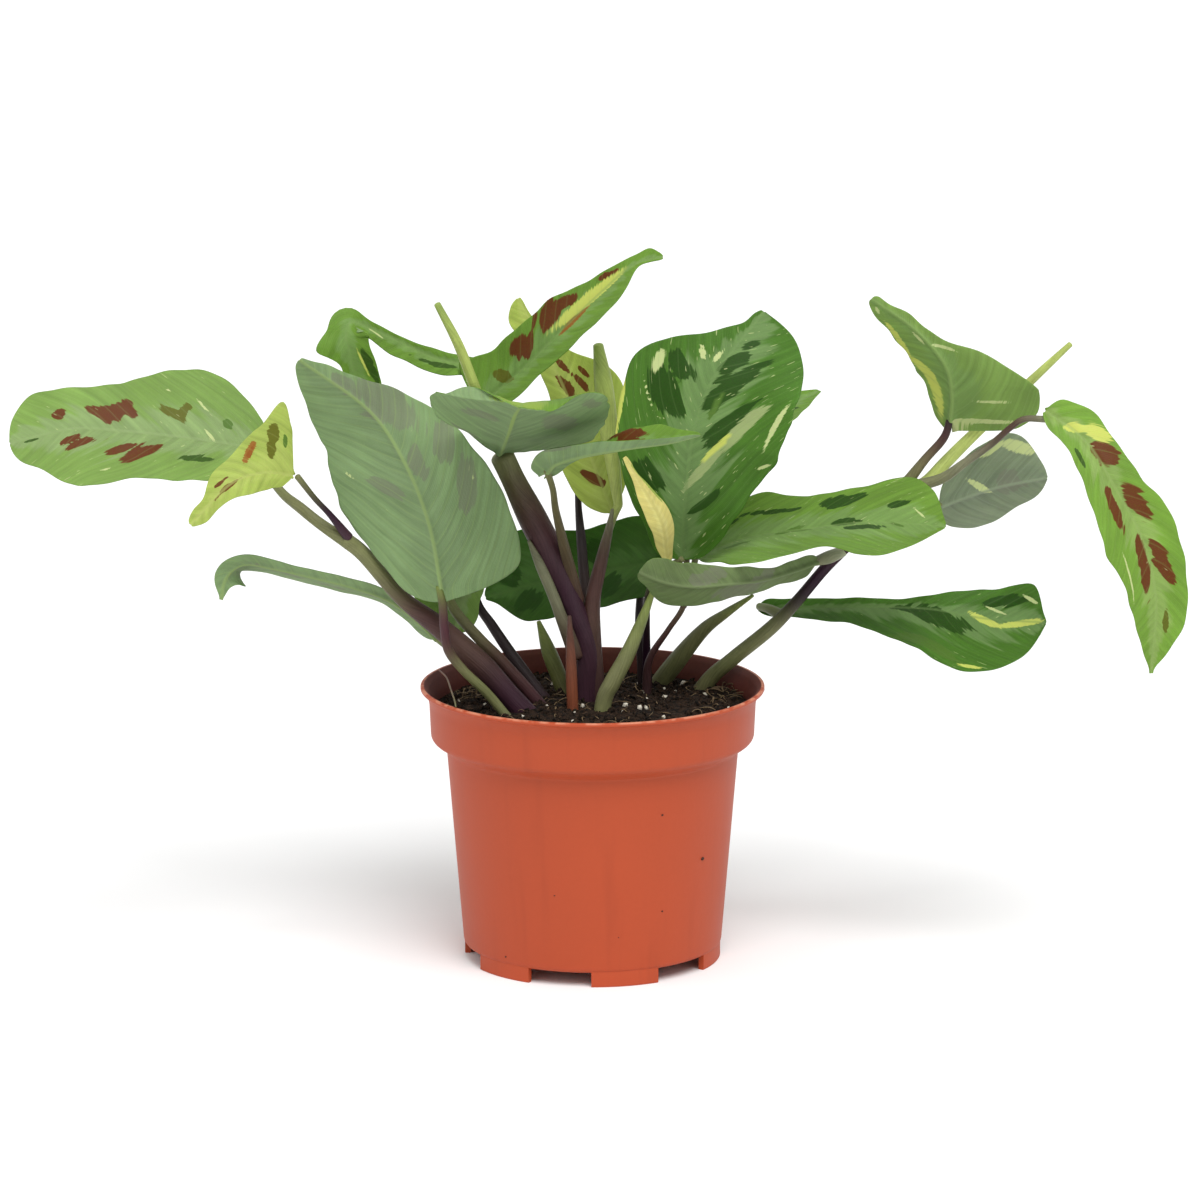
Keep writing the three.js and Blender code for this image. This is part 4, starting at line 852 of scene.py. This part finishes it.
# midrib and face direction (towards the upper side) in mm from stalk to tip; left and right half widths; fold at the
# midrib and curl to the edge in degrees; lobe is how far the edges lean back at the stalk in mm; marks are, by kind,
# (along, across, along, across, width in mm) from end to end, with along 0 at the stalk and 1 at the tip, and across
# -1 at the left edge and 1 at the right
leafDefaults = {"fold": [6, 6], "curl": [10, 10], "lobe": 0, "top": "fresh", "under": "grey", "flecks": 0.0,
                "marks": pairedMarks()}
leaves = {
    "leaf_left_long": dict(
        midrib=[[-114, 2, 179], [-124, 0, 182], [-140, -3, 185], [-161, -7, 188], [-179, -8, 189],
        [-200.5, -8, 184]], face=[[0, -0.72, 0.7]], left=[6, 10, 14, 18, 20, 21, 26, 25, 15, 8],
        right=[9, 13, 19, 25, 26, 20, 16, 16, 15, 9], fold=[4, 4], curl=[8, 8], top="bright", flecks=0.8,
        marks={"brown": [(0.82, 0.42, 0.77, 0.4, 4.2), (0.71, 0.5, 0.59, 0.27, 5), (0.64, 0.24, 0.53, 0.58, 6.5),
                (0.57, 0.56, 0.5, 0.27, 4), (0.82, -0.25, 0.71, -0.12, 3.4), (0.79, -0.35, 0.64, -0.17, 3.2),
                (0.62, -0.42, 0.47, -0.2, 3.2), (0.57, -0.56, 0.41, -0.3, 5.4)],
               "olive": [(0.42, 0.5, 0.31, 0.22, 4.5), (0.36, 0.22, 0.3, 0.5, 4)],
               "fern": [(0.17, 0.3, 0.13, 0.36, 4)],
               "dark": [(0.95, -0.12, 0.88, -0.08, 1.2), (0.35, -0.53, 0.24, -0.37, 3),
                (0.3, -0.52, 0.21, -0.45, 2)],
               "cream": [(0.28, 0.6, 0.22, 0.4, 1.1), (0.24, 0.17, 0.19, -0.03, 1.3),
                (0.63, -0.74, 0.59, -0.7, 1.1), (0.4, 0.75, 0.37, 0.68, 0.9)]}),
    "leaf_left_young": dict(
        midrib=[[-102, -30, 177], [-112, -36, 179], [-123, -42, 176], [-136, -46, 163]],
        face=[[-0.1, -0.85, 0.5]], left=[1, 3, 6, 7, 8, 8, 6, 4, 4, 2], right=[13, 18, 25, 16, 12, 8, 7, 3, 3, 2],
        fold=[10, 10], top="young", under="young",
        marks={"orange": [(0.4, 0.42, 0.27, 0.8, 2.6)],
               "brown": [(0.36, 0.5, 0.29, 0.72, 1.6), (0.66, 0.45, 0.54, 0.34, 1.4), (0.7, -0.1, 0.46, 0, 1.8)],
               "olive": [(0.2, 0.2, 0.17, 0.75, 3.2)],
               "fern": [(0.09, 0.42, 0.1, 0.62, 1.6)]}),
    "leaf_left_arching": dict(
        midrib=[[-36, 22, 205], [-46, 20, 207], [-56, 17, 210], [-67, 13, 216], [-76, 9, 221], [-83, 6, 224],
        [-85, 4, 220], [-84, 3, 214], [-80, 3, 198]], face=[[0, -0.8, 0.6]],
        left=[4, 4, 5, 6, 7, 7, 6, 4, 6, 8, 8, 8, 8, 7], right=[3, 3, 3, 3, 3, 2, 2, 3, 6, 7, 11, 5, 4, 4],
        flecks=0.3,
        marks={"dark": [(0.8, -0.58, 0.96, -0.9, 3), (0.34, -0.5, 0.14, -0.4, 2.2)],
               "yellow": [(0.78, -0.35, 0.93, -0.6, 0.9)],
               "cream": [(0.58, -0.1, 0.5, -0.35, 0.8)]}),
    "leaf_left_broad": dict(
        midrib=[[-52, -22, 136], [-56, -24, 159], [-64, -27, 181], [-76, -29, 199.5], [-99, -36, 218]],
        face=[[-0.1, 0.85, 0.5]], left=[27, 29, 25, 18, 8, 3], right=[13, 22, 29, 27, 22, 9], curl=[14, 14],
        lobe=5, flecks=0.2,
        marks={"dark": [(0.87, -0.3, 0.79, -0.3, 6), (0.8, -0.6, 0.6, -0.45, 15), (0.7, -0.8, 0.57, -0.4, 8),
                (0.55, -0.85, 0.42, -0.6, 10), (0.4, -0.8, 0.24, -0.5, 7), (0.5, -0.2, 0.38, -0.14, 6),
                (0.36, 0.2, 0.46, 0.55, 6)],
               "cream": [(0.53, 0.8, 0.48, 0.7, 1.4), (0.35, -0.76, 0.33, -0.74, 1.2)]}),
    "leaf_left_low": dict(
        midrib=[[-54, -3, 114], [-61, -3, 121], [-70, -4, 128], [-82, -6, 133], [-96, -8, 137], [-110, -12, 141],
        [-120, -15, 143], [-126, -17, 139], [-128, -18, 131]], face=[[0.1, 0.6, 0.8], [0.1, 0.6, 0.8],
        [0.1, 0.6, 0.8], [0.1, 0.6, 0.8], [0, 0.9, 0.4]], left=[1, 1, 2, 4, 4, 4, 5, 5, 3, 1],
        right=[6, 8, 8, 9, 12, 13, 15, 13, 4, 1], top="deep",
        marks={"dark": [(0.8, -0.2, 0.56, 0.45, 2.4), (0.55, 0.5, 0.36, 0.75, 3), (0.34, 0.4, 0.12, 0.25, 2.4)]}),
    "leaf_left_hanging": dict(
        midrib=[[-43, 20, 131], [-45, 16, 125], [-47, 13, 118], [-49, 11, 113]], face=[[0, -0.8, 0.6]],
        left=[5, 6, 6, 7, 6, 3], right=[16, 18, 19, 15, 10, 3], fold=[5, 5], curl=[8, 8], top="bright",
        marks={"fern": [(0.5, 0.3, 0.62, 0.5, 2)]}),
    "leaf_top_pointed": dict(
        midrib=[[-36, 8, 197], [-25, 4, 207], [-10, -2, 223], [5, -6, 238], [14, -8, 246], [24, -10, 249]],
        face=[[-0.5, -0.7, 0.5]], left=[16, 15, 13, 12, 11, 6, 4, 3, 4, 2],
        right=[3, 7, 12, 10, 12, 12, 8, 2, 1, 1], fold=[14, 14], lobe=5,
        marks={"olive": [(0.08, -0.4, 0.14, 0.05, 4.5)],
               "brown": [(0.2, -0.52, 0.33, -0.45, 9), (0.37, -0.56, 0.52, -0.72, 9),
                (0.46, -0.72, 0.6, -0.6, 4.5), (0.71, -0.74, 0.8, -0.5, 2.2)],
               "orange": [(0.43, 0.1, 0.62, 0.05, 3.6)],
               "yellow": [(0.42, -0.22, 0.83, -0.05, 5)]}),
    "leaf_centre_upright": dict(
        midrib=[[7, 22, 154], [0, 26, 171], [-7, 30, 189], [-16, 34, 209], [-26, 38, 227]],
        face=[[0.2, -0.85, 0.5]], left=[5, 10, 12, 13, 10, 7, 6, 7, 8, 5],
        right=[3, 7, 11, 14, 18, 19, 8, 2, 1, 1], fold=[8, 8], curl=[12, 12], top="lime", under="young",
        marks={"brown": [(0.73, 0.05, 0.61, 0.28, 2.2), (0.63, -0.12, 0.53, 0.1, 4), (0.6, 0.32, 0.5, 0.42, 2.4),
                (0.63, 0.55, 0.57, 0.55, 2), (0.2, -0.4, 0.12, 0.1, 4)],
               "olive": [(0.15, 0.3, 0.14, 0.62, 3)]}),
    "leaf_front_high": dict(
        midrib=[[-32, -6, 180], [-30, -22, 187], [-28, -40, 195], [-26, -56, 203], [-24, -68, 208],
        [-23, -74, 210], [-24, -77, 209]], face=[[0, 0.47, 0.88], [0, 0.47, 0.88], [0, 0.4, 0.9], [0, 0.2, 0.98],
        [0, -0.1, 0.98], [0, -0.6, 0.8]], left=[22, 30, 32, 33, 33, 31, 27, 17, 12, 9],
        right=[3, 7, 12, 22.5, 28, 29, 28, 24, 17, 10], fold=[3, 3], curl=[8, 12],
        marks={"dark": [(0.73, 0.62, 0.6, 0.2, 10), (0.66, -0.4, 0.42, -0.6, 11), (0.86, -0.78, 0.7, -0.85, 6),
                (0.4, 0.9, 0.2, 0.85, 3)],
               "lime": [(0.97, 0.5, 0.97, -0.6, 5), (0.3, 0, 0.95, 0, 1.4)]}),
    "leaf_right_broad": dict(
        midrib=[[31, -2, 142], [32, -7, 164], [35, -10, 189], [43, -7, 209], [59, 3, 228]],
        face=[[0, -0.85, 0.45]], left=[8, 11, 15, 21, 26, 28, 26, 11, 4, 2],
        right=[7, 12, 17, 22, 30, 32, 32, 30, 24, 15], curl=[12, 12], top="deep", flecks=1.1,
        marks={"deep": [(0.64, -0.7, 0.54, -0.26, 9), (0.7, -0.7, 0.66, -0.2, 6), (0.69, 0.05, 0.88, 0.2, 6),
                (0.58, 0.06, 0.83, 0.45, 7.5), (0.43, 0.16, 0.67, 0.56, 7.5), (0.36, -0.85, 0.28, -0.32, 9),
                (0.19, 0.12, 0.28, 0.52, 3.6)],
               "sage": [(0.26, -0.06, 0.46, 0.36, 3.6), (0.44, 0.34, 0.7, 0.7, 5)],
               "yellow": [(0.38, 0.16, 0.54, 0.46, 2.6), (0.6, -1, 0.43, -1, 2.4)],
               "cream": [(0.5, 0.82, 0.75, 0.93, 2.2), (0.4, 0.85, 0.44, 0.94, 1.6), (0.7, -0.82, 0.63, -0.68, 4),
                (0.61, -0.8, 0.51, -0.5, 1), (0.51, -0.46, 0.5, -0.2, 0.9), (0.77, -0.64, 0.73, -0.3, 2.4),
                (0.79, -0.2, 0.74, -0.15, 2)],
               "fern": [(0.72, 0.2, 0.55, 0.12, 3)]}),
    "leaf_cream": dict(
        midrib=[[26, -12, 143], [24, -15, 157], [18, -17, 169], [11, -18, 181]], face=[[0.3, -0.9, 0.2]],
        left=[2, 4, 5, 4, 2, 1], right=[2, 3, 4, 3, 1, 1], fold=[3, 3], curl=[5, 5], top="cream", under="young",
        marks={"lime": [(0.5, 0.9, 0.95, 0.3, 1)]}),
    "leaf_right_spreading": dict(
        midrib=[[36, 12, 140], [53, 5, 148], [74, -4, 153], [96, -12, 157], [121, -20, 157]],
        face=[[0, -0.38, 0.92]], left=[8, 14, 19, 22, 18, 17, 19, 23, 18, 6],
        right=[3, 10, 18, 26, 29, 19, 24, 30, 22, 7], flecks=1,
        marks={"deep": [(0.49, -0.7, 0.67, -0.72, 4.6), (0.52, -0.58, 0.62, -0.6, 3),
                (0.75, -0.38, 0.84, -0.52, 3.6), (0.2, -0.58, 0.41, -0.65, 2.6), (0.54, -0.05, 0.68, -0.05, 4),
                (0.6, 0.22, 0.77, 0.14, 4.4), (0.02, -1, 0.16, -0.55, 3)],
               "fern": [(0.33, 0.08, 0.46, -0.14, 3.2), (0.38, 0.02, 0.5, 0.04, 2.6),
                (0.78, -0.03, 0.86, 0.12, 2.6), (0.15, 0.23, 0.26, 0.18, 2.4)],
               "cream": [(0.86, -0.4, 0.92, -0.2, 0.9)]}),
    "leaf_front_low": dict(
        midrib=[[78, 8, 139], [69, 0, 137.5], [58, -12, 137], [47, -21, 137.5], [35, -26, 137.5],
        [25, -29, 139.5], [16, -31, 143.5]], face=[[0, 0.9, 0.4]], left=[3, 4, 4, 4, 6, 7, 9, 9, 8, 6],
        right=[6, 7, 7, 7, 8, 9, 10, 9, 5, 3], fold=[4, 4], under="dim",
        marks={"dark": [(0.6, 0.6, 0.36, 0.3, 8), (0.4, -0.2, 0.3, -0.5, 7), (0.75, -0.3, 0.6, -0.6, 6)]}),
    "leaf_back_shaded": dict(
        midrib=[[22, 32, 134], [3, 40, 129], [-16, 42, 125], [-38, 42, 119]], face=[[0, -0.8, 0.6]],
        # its top palette is painted shade
        left=[14, 15, 16, 16, 15, 4], right=[14, 18, 16, 18, 20, 6], fold=[5, 5], lobe=6, top="shade", flecks=0.2,
        marks={"deep": [(0.3, 0.2, 0.42, 0.7, 9), (0.55, 0.2, 0.68, 0.7, 9), (0.78, 0.15, 0.88, 0.6, 8),
                (0.2, -0.2, 0.34, -0.7, 8), (0.45, -0.2, 0.6, -0.7, 9), (0.7, -0.2, 0.84, -0.7, 8)]}),
    "leaf_right_low": dict(
        midrib=[[59, 33, 117], [92, 25, 119], [117, 18, 120], [137, 11, 118], [158, 4, 118]],
        face=[[0, -0.55, 0.83]], left=[4, 4, 4, 4, 4, 8, 12, 15, 16, 5],
        right=[4, 6, 8, 11, 19, 26, 30, 31, 26, 17], fold=[4, 4], top="deep", flecks=0.7,
        marks={"deep": [(0.5, 0.04, 0.76, 0.25, 9), (0.46, -0.1, 0.6, 0.12, 4), (0.76, -0.53, 0.92, -0.6, 5.5)],
               "fern": [(0.49, 0.88, 0.75, 0.82, 6)],
               "yellow": [(0.73, -0.14, 0.86, 0.14, 3.6), (0.84, 0.12, 0.99, -0.24, 4),
                (0.76, 0.92, 0.85, 0.95, 2)],
               "cream": [(0.77, -0.46, 0.86, -0.16, 1.2), (0.9, -0.7, 0.96, -0.75, 1.6)]}),
    "leaf_right_high": dict(
        midrib=[[125, 20, 187], [125, 14, 197], [122, 8, 209], [111, 4, 222], [96, 0, 233]],
        face=[[0.2, 0.85, 0.3]], left=[20, 26, 30, 29, 18, 7, 3, 3, 2, 2],
        right=[3, 6, 8, 10, 12, 12, 10, 8, 6, 3], lobe=5, under="green",
        marks={"yellow": [(0.84, 0.75, 0.5, 1, 2.6), (0.56, 1, 0.03, 0.8, 4.6)],
               "cream": [(0, -0.2, 0.06, -0.82, 2), (0.68, 0.15, 0.58, 0.15, 1.3), (0.57, 0.03, 0.45, -0.6, 1.4),
                (0.15, -0.2, 0.15, -0.7, 0.9), (0.95, 0.4, 0.9, 0.6, 1.3)]}),
    "leaf_right_hanging": dict(
        midrib=[[156, -6, 195], [169, -12, 186], [179, -18, 171], [189, -20, 152], [194, -20, 131],
        [193, -18, 105]], face=[[0.3, -0.9, 0.3]], left=[6, 8, 9, 8.5, 10, 13, 12, 11, 7, 1.5],
        right=[3, 6, 7, 9.5, 12, 16, 13, 10, 5, 1.5], top="glossy", flecks=0.3,
        marks={"yellow": [(0.08, 0.3, 0.14, -0.35, 4), (0.13, -0.3, 0.21, -0.85, 5.5)],
               "brown": [(0.19, -0.1, 0.29, -0.5, 8), (0.36, -0.28, 0.5, -0.46, 7), (0.33, 0.3, 0.48, 0.4, 4),
                (0.52, 0.08, 0.74, 0.33, 4.4), (0.55, -0.24, 0.7, -0.5, 6)],
               "dark": [(0.16, 0.7, 0.25, 0.68, 2)],
               "olive": [(0.78, -0.3, 0.86, -0.42, 2.8)],
               "cream": [(0.54, 0.6, 0.74, 0.83, 0.8)]}),
    "leaf_right_rear": dict(
        midrib=[[122, 32, 154], [131, 38, 156], [145, 44, 159], [161, 48, 161]], face=[[0, 0.9, 0.4]],
        left=[5, 11, 16, 18, 12, 8], right=[8, 11, 15, 19, 18, 8], under="ash",
        marks={"cream": [(0.43, 0.8, 0.65, 0.86, 4), (0.63, 0.86, 0.9, 0.95, 5), (0.3, 0.42, 0.5, -0.08, 2.6)],
               "dark": [(0.6, 0.2, 0.8, -0.3, 9)]}),
    "leaf_front_narrow": dict(
        midrib=[[-15, -32, 179], [-12, -38, 183], [-3, -45, 187], [7, -52, 190], [16, -56, 192], [26, -60, 194],
        [36, -63, 197]], face=[[0, 0.9, 0.5], [0, 0.6, 0.8], [0, 0.1, 1], [0, 0, 1], [0, 0, 1]],
        left=[4, 6, 7, 8, 7, 3], right=[6, 6, 5, 4, 4, 3], fold=[[5, 15, 40, 40, 30], [5, 15, 35, 35, 20]],
        lobe=6,
        marks={"brown": [(0.48, -0.9, 0.72, -0.55, 4), (0.5, -0.4, 0.7, -0.3, 2.6)],
               "dark": [(0.3, 0.95, 0.14, 0.95, 2)]}),
    "leaf_rear_left": dict(
        midrib=[[-51, 6, 139], [-57, 26, 150], [-67, 50, 159], [-78, 72, 166]], face=[[0, -0.2, 0.98]],
        left=[8, 15, 19, 18, 13, 5], right=[8, 15, 19, 18, 13, 5]),
    "leaf_rear_right": dict(
        midrib=[[34, 22, 160], [46, 40, 171], [62, 58, 181], [81, 72, 188]], face=[[-0.2, -0.3, 0.9]],
        left=[8, 15, 18, 16, 10, 3], right=[8, 15, 18, 16, 10, 3]),
    "leaf_rear_centre": dict(
        midrib=[[-5, 34, 165], [-2, 50, 171], [3, 66, 175], [7, 80, 178]], face=[[0, -0.2, 0.98]],
        left=[8, 14, 17, 16, 11, 4], right=[8, 14, 17, 16, 11, 4]),
}

# lengths in mm; the side veins' count falls by slope and sweep off the midrib, and is staggered at the left
bladeLook = {
    "rows": 96, "columns": 60, "footWidth": 1.0, "tipWidth": 0.6, "edgeWave": 19.0, "edgeUneven": 0.27,
    "edgeCalm": 8, "thickness": 0.45, "edgeThinning": 0.5, "veinSpacing": 6.0, "veinSlope": 0.85,
    "veinSweep": 0.022, "veinStagger": 0.37, "quilt": 0.22, "quiltRise": (1.5, 6), "groove": 0.45,
    "grooveWidth": 1.1, "rib": 0.9, "ribWidth": 0.9, "ripple": 0.8, "rippleSize": (16, 38), "rippleCalm": 8,
}


def bladeGrid(leaf, look):
    # rows crowd at both ends by a cosine, so that the ends are round; across, the section is an arc whose slope grows
    # evenly from the midrib; basal lobes lean back by the square of the distance from the midrib
    u = np.linspace(0, 1, look["rows"] + 1)
    t = (1 - np.cos(math.pi * u)) / 2
    side = np.linspace(-1, 1, look["columns"] + 1)
    atLeft = side[None] < 0
    centre = curveAt(leaf["midrib"], t)
    along = tangentAt(leaf["midrib"], t)
    face = curveAt(leaf["face"], t)
    up = unit(face - along * (face * along).sum(1, keepdims=True))
    right = np.cross(along, up)
    arc = np.concatenate([[0], np.cumsum(np.linalg.norm(np.diff(centre, axis=0), axis=1))])
    halves = []
    for key in ("left", "right"):
        half = curveAt([look["footWidth"], *leaf[key], look["tipWidth"]], u)[:, 0] + unevenEdge(arc, leaf, key, look)
        halves.append(np.maximum(half, look["tipWidth"])[:, None])
    width = np.where(atLeft, *halves)
    fold, curl = [np.radians(np.where(atLeft, *[curveAt(np.atleast_1d(half).tolist(), t) for half in leaf[key]]))
                  for key in ("fold", "curl")]
    share = np.abs(side)[None]
    bent = fold + curl * share
    out = width * (np.sin(bent) - np.sin(fold)) / curl * np.sign(side)[None]
    rise = width * (np.cos(fold) - np.cos(bent)) / curl
    back = leaf["lobe"] * share**2 * ((1 - t) ** 4)[:, None]
    points = centre[:, None] + right[:, None] * out[..., None] + up[:, None] * rise[..., None]
    points = points - along[:, None] * back[..., None]
    return points, t, side, width * side[None], np.repeat(arc[:, None], len(side), 1)


def unevenEdge(arc, leaf, key, look):
    # two sine waves of the length along the midrib, in a phase that comes from the leaf's own first point and widths;
    # they fade where the half is narrow
    phase = sum(leaf["midrib"][0]) * 1.7 + sum(leaf[key]) * 0.9
    waves = np.sin(arc * 2 * math.pi / look["edgeWave"] + phase)
    waves = waves + 0.7 * np.sin(arc * 2 * math.pi / (look["edgeWave"] * 0.57) + 2.3 * phase)
    half = curveAt(leaf[key], np.linspace(0, 1, len(arc)))[:, 0]
    return look["edgeUneven"] * waves * np.minimum(half / look["edgeCalm"], 1)


def surfaceNormals(points):
    return unit(np.cross(np.gradient(points, axis=1), np.gradient(points, axis=0)))


def markLayer(marks, lateral, length):
    # over the marks of one layer, the greatest of 1 - r, where r is 0 in a mark's middle and 1 on an ellipse from end
    # to end of it, in mm on the flattened blade; and the colour of the mark that is nearest in that sense
    field = np.full(lateral.shape, -2.0)
    tint = np.zeros((*lateral.shape, 4))
    total = length[-1, 0]
    for kind, (*ends, wide) in marks:
        corners = []
        for t, s in (ends[:2], ends[2:]):
            row = int(np.argmin(np.abs(length[:, 0] - t * total)))
            corners.append(np.array([s * (lateral[row, -1] if s >= 0 else -lateral[row, 0]), t * total]))
        middle, half = (corners[0] + corners[1]) / 2, (corners[1] - corners[0]) / 2
        reach = np.linalg.norm(half)
        x = ((lateral - middle[0]) * half[0] + (length - middle[1]) * half[1]) / reach
        y = ((lateral - middle[0]) * half[1] - (length - middle[1]) * half[0]) / reach
        level = 1 - np.hypot(x / (reach * 1.1), y / (wide / 2))
        nearer = level > field
        field = np.where(nearer, level, field)
        tint[nearer] = markTints[kind]
    return field.ravel(), tint.reshape(-1, 4)


def makeLeaf(name, leaf, look, seed):
    # the blade's middle surface with ribs between the veins, a groove along the midrib and random ripples, made thick
    # to both sides, with a rib below
    points, t, side, lateral, length = bladeGrid(leaf, look)
    normals = surfaceNormals(points)
    share = np.abs(side)[None]
    toTip = 1 - t[:, None]
    away = np.abs(lateral)
    count = (length - look["veinSlope"] * away - look["veinSweep"] * away**2) / look["veinSpacing"]
    count = np.where(side[None] < 0, count + look["veinStagger"], count)
    inside = smoothStep(*look["quiltRise"], away) * (1 - share**6)
    quilt = look["quilt"] * (np.abs(np.sin(math.pi * count)) - 0.6) * inside
    groove = look["groove"] * np.exp(-(lateral / look["grooveWidth"]) ** 2) * (1 - t[:, None] * 0.7)
    ripple = rippleField(lateral, length, seed, look["rippleSize"]) * look["ripple"] * (0.25 + share)
    ripple = ripple * np.minimum(away / look["rippleCalm"], 1) * np.sin(math.pi * t)[:, None] ** 0.5
    middle = points + normals * (quilt - groove + ripple)[..., None]
    half = look["thickness"] / 2 * (1 - look["edgeThinning"] * share**8)
    rib = look["rib"] * np.exp(-(lateral / look["ribWidth"]) ** 2) * toTip ** 0.7
    upper = middle + normals * half[..., None]
    lower = middle - normals * (half + rib)[..., None]
    rows, columns = lateral.shape
    size = rows * columns
    topFaces = gridQuads(rows, columns)
    underFaces = gridQuads(rows, columns, start=size)[:, ::-1]
    last = (rows - 1) * columns
    ring = np.concatenate([np.arange(columns - 1), np.arange(rows - 1) * columns + columns - 1,
                           last + np.arange(columns - 1, 0, -1), np.arange(rows - 1, 0, -1) * columns])
    after = np.roll(ring, -1)
    rim = np.stack([ring, ring + size, after + size, after], axis=1)
    faceMaterial = np.repeat([0, 1, 0], [len(topFaces), len(underFaces), len(rim)])
    layers = {"blotch": [], "streak": []}
    for kind, spots in leaf["marks"].items():
        layers["streak" if kind in streakKinds else "blotch"] += [(kind, spot) for spot in spots]
    values = {"blade": np.stack([count, lateral, length + 100 * seed], -1).reshape(-1, 3),
              "edge": np.repeat(share, rows, 0).ravel(), "flecks": np.full(size, leaf["flecks"])}
    for layer, marks in layers.items():
        values[layer], values[layer + "Tint"] = markLayer(marks, lateral, length)
    values = {key: np.concatenate([array, array]) for key, array in values.items()}
    piece = pieceMesh(name + "_live", np.vstack([upper.reshape(-1, 3), lower.reshape(-1, 3)]),
                      np.vstack([topFaces, underFaces, rim]),
                      [leafMaterial("top", leaf["top"], leafTops), leafMaterial("under", leaf["under"], leafUnders)],
                      faceMaterial, values)
    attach(piece, "root")
    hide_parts(name)


# amounts by which each layer covers the one below it
skinLook = {
    "top": {"roughness": 0.46, "blotch": 0.94, "sideVeins": 0.12, "midrib": 0.45},
    "under": {"roughness": 0.6, "blotch": 0.55, "sideVeins": 0.35, "midrib": 0.8},
    "patches": (70.0, 0.4), "grain": (1400.0, 0.12), "fineVeins": 0.16, "flecks": 0.6, "streak": 0.9,
    "fineVeinDepth": -0.4, "specular": 0.12, "subsurface": 0.08, "subsurfaceRadius": (0.002, 0.004, 0.001),
    "subsurfaceScale": 0.5,
}
leafMaterials = {}


def leafMaterial(face, kind, palettes):
    # one material for each face and palette: band and blade, patches, fine veins, blotches, flecks, streaks, veins
    key = face + kind.capitalize()
    if key in leafMaterials:
        return leafMaterials[key]
    colours, look = palettes[kind], skinLook[face]
    material, tree, shader = newMaterial(key, look["roughness"])
    veins = useGroup(tree, venation, {"Blade": attribute(tree, "blade", "Vector")})
    marks = useGroup(tree, leafMarks, {
        "Blotch": attribute(tree, "blotch"), "Streak": attribute(tree, "streak"), "Flecks": attribute(tree, "flecks"),
        "Edge": attribute(tree, "edge"), "Blade": attribute(tree, "blade", "Vector")})
    base = mixColour(tree, marks["Band"], colours["blade"], colours["band"])
    base = brightened(tree, base, marks["Shade"])
    cloud = mottled(tree, base, objectPosition(tree), skinLook["patches"], skinLook["grain"])
    blotchTint = cloudTint if face == "under" else attribute(tree, "blotchTint", "Color")
    base = cloud["Color"]
    for mask, amount, colour in (
            (veins["Fine Veins"], skinLook["fineVeins"], colours["vein"]),
            (marks["Blotch"], look["blotch"], blotchTint),
            (marks["Flecks"], skinLook["flecks"], markTints["cream"]),
            (marks["Streak"], skinLook["streak"], attribute(tree, "streakTint", "Color")),
            (veins["Side Veins"], look["sideVeins"], colours["vein"]),
            (veins["Midrib"], look["midrib"], colours["vein"])):
        base = mixColour(tree, times(tree, mask, amount), base, colour)
    height = calc(tree, "ADD", times(tree, veins["Fine Veins"], skinLook["fineVeinDepth"]), cloud["Grain"])
    wireShader(tree, shader, base, skinLook["specular"], Height=height, Strength=0.35, Distance=0.0002)
    shader.inputs["Subsurface Weight"].default_value = skinLook["subsurface"]
    shader.inputs["Subsurface Radius"].default_value = skinLook["subsurfaceRadius"]
    shader.inputs["Subsurface Scale"].default_value = skinLook["subsurfaceScale"]
    leafMaterials[key] = material
    return material


for leafSeed, (leafName, leafSpec) in enumerate(leaves.items()):
    makeLeaf(leafName, {**leafDefaults, **leafSpec}, bladeLook, leafSeed)
print("leaves made")

# lengths in mm, angles in degrees; suns are (strength, angular size, pitch, turn)
studio = {
    "lens": 176.55, "sensor": 36, "pitch": 12.18, "camera": (2.6, -2000.0, 558.7), "clipEnd": 30, "roomLight": 0.66,
    "floorX": (-9000, 9000), "floorY": (-6000, 14000), "floorColour": (0.9, 0.9, 0.9, 1),
    "suns": {"keySoftbox": (2.35, 40, 34, 20), "fillSoftbox": (0.4, 60, 60, -60)},
}


def makeFloor(look):
    (left, right), (front, rear) = look["floorX"], look["floorY"]
    points = np.array([[left, front, 0], [right, front, 0], [right, rear, 0], [left, rear, 0]], float)
    material, _, shader = newMaterial("paleFloor", 0.9)
    shader.inputs["Base Color"].default_value = look["floorColour"]
    shader.inputs["Specular IOR Level"].default_value = 0.0
    floor = pieceMesh("floorSheet", points, [[0, 1, 2, 3]], [material], smooth=False)


def addSun(name, strength, size, pitch, turn):
    light = bpy.data.lights.new(name, "SUN")
    light.energy = strength
    light.angle = math.radians(size)
    lamp = bpy.data.objects.new(name, light)
    lamp.rotation_euler = (math.radians(pitch), 0, math.radians(turn))
    bpy.context.collection.objects.link(lamp)


def makeStudio(look):
    makeFloor(look)
    world = bpy.data.worlds.new("softRoom")
    world.use_nodes = True
    background = world.node_tree.nodes["Background"].inputs
    background["Color"].default_value = (1, 1, 1, 1)
    background["Strength"].default_value = look["roomLight"]
    bpy.context.scene.world = world
    for name, sun in look["suns"].items():
        addSun(name, *sun)
    lens = bpy.data.cameras.new("photoCamera")
    lens.lens = look["lens"]
    lens.sensor_width = look["sensor"]
    lens.clip_end = look["clipEnd"]
    camera = bpy.data.objects.new("photoCamera", lens)
    camera.location = [part * mm for part in look["camera"]]
    camera.rotation_euler = (math.radians(90 - look["pitch"]), 0, 0)
    bpy.context.collection.objects.link(camera)
    bpy.context.scene.camera = camera
    bpy.context.scene.view_settings.view_transform = "Standard"


makeStudio(studio)
print("studio made")
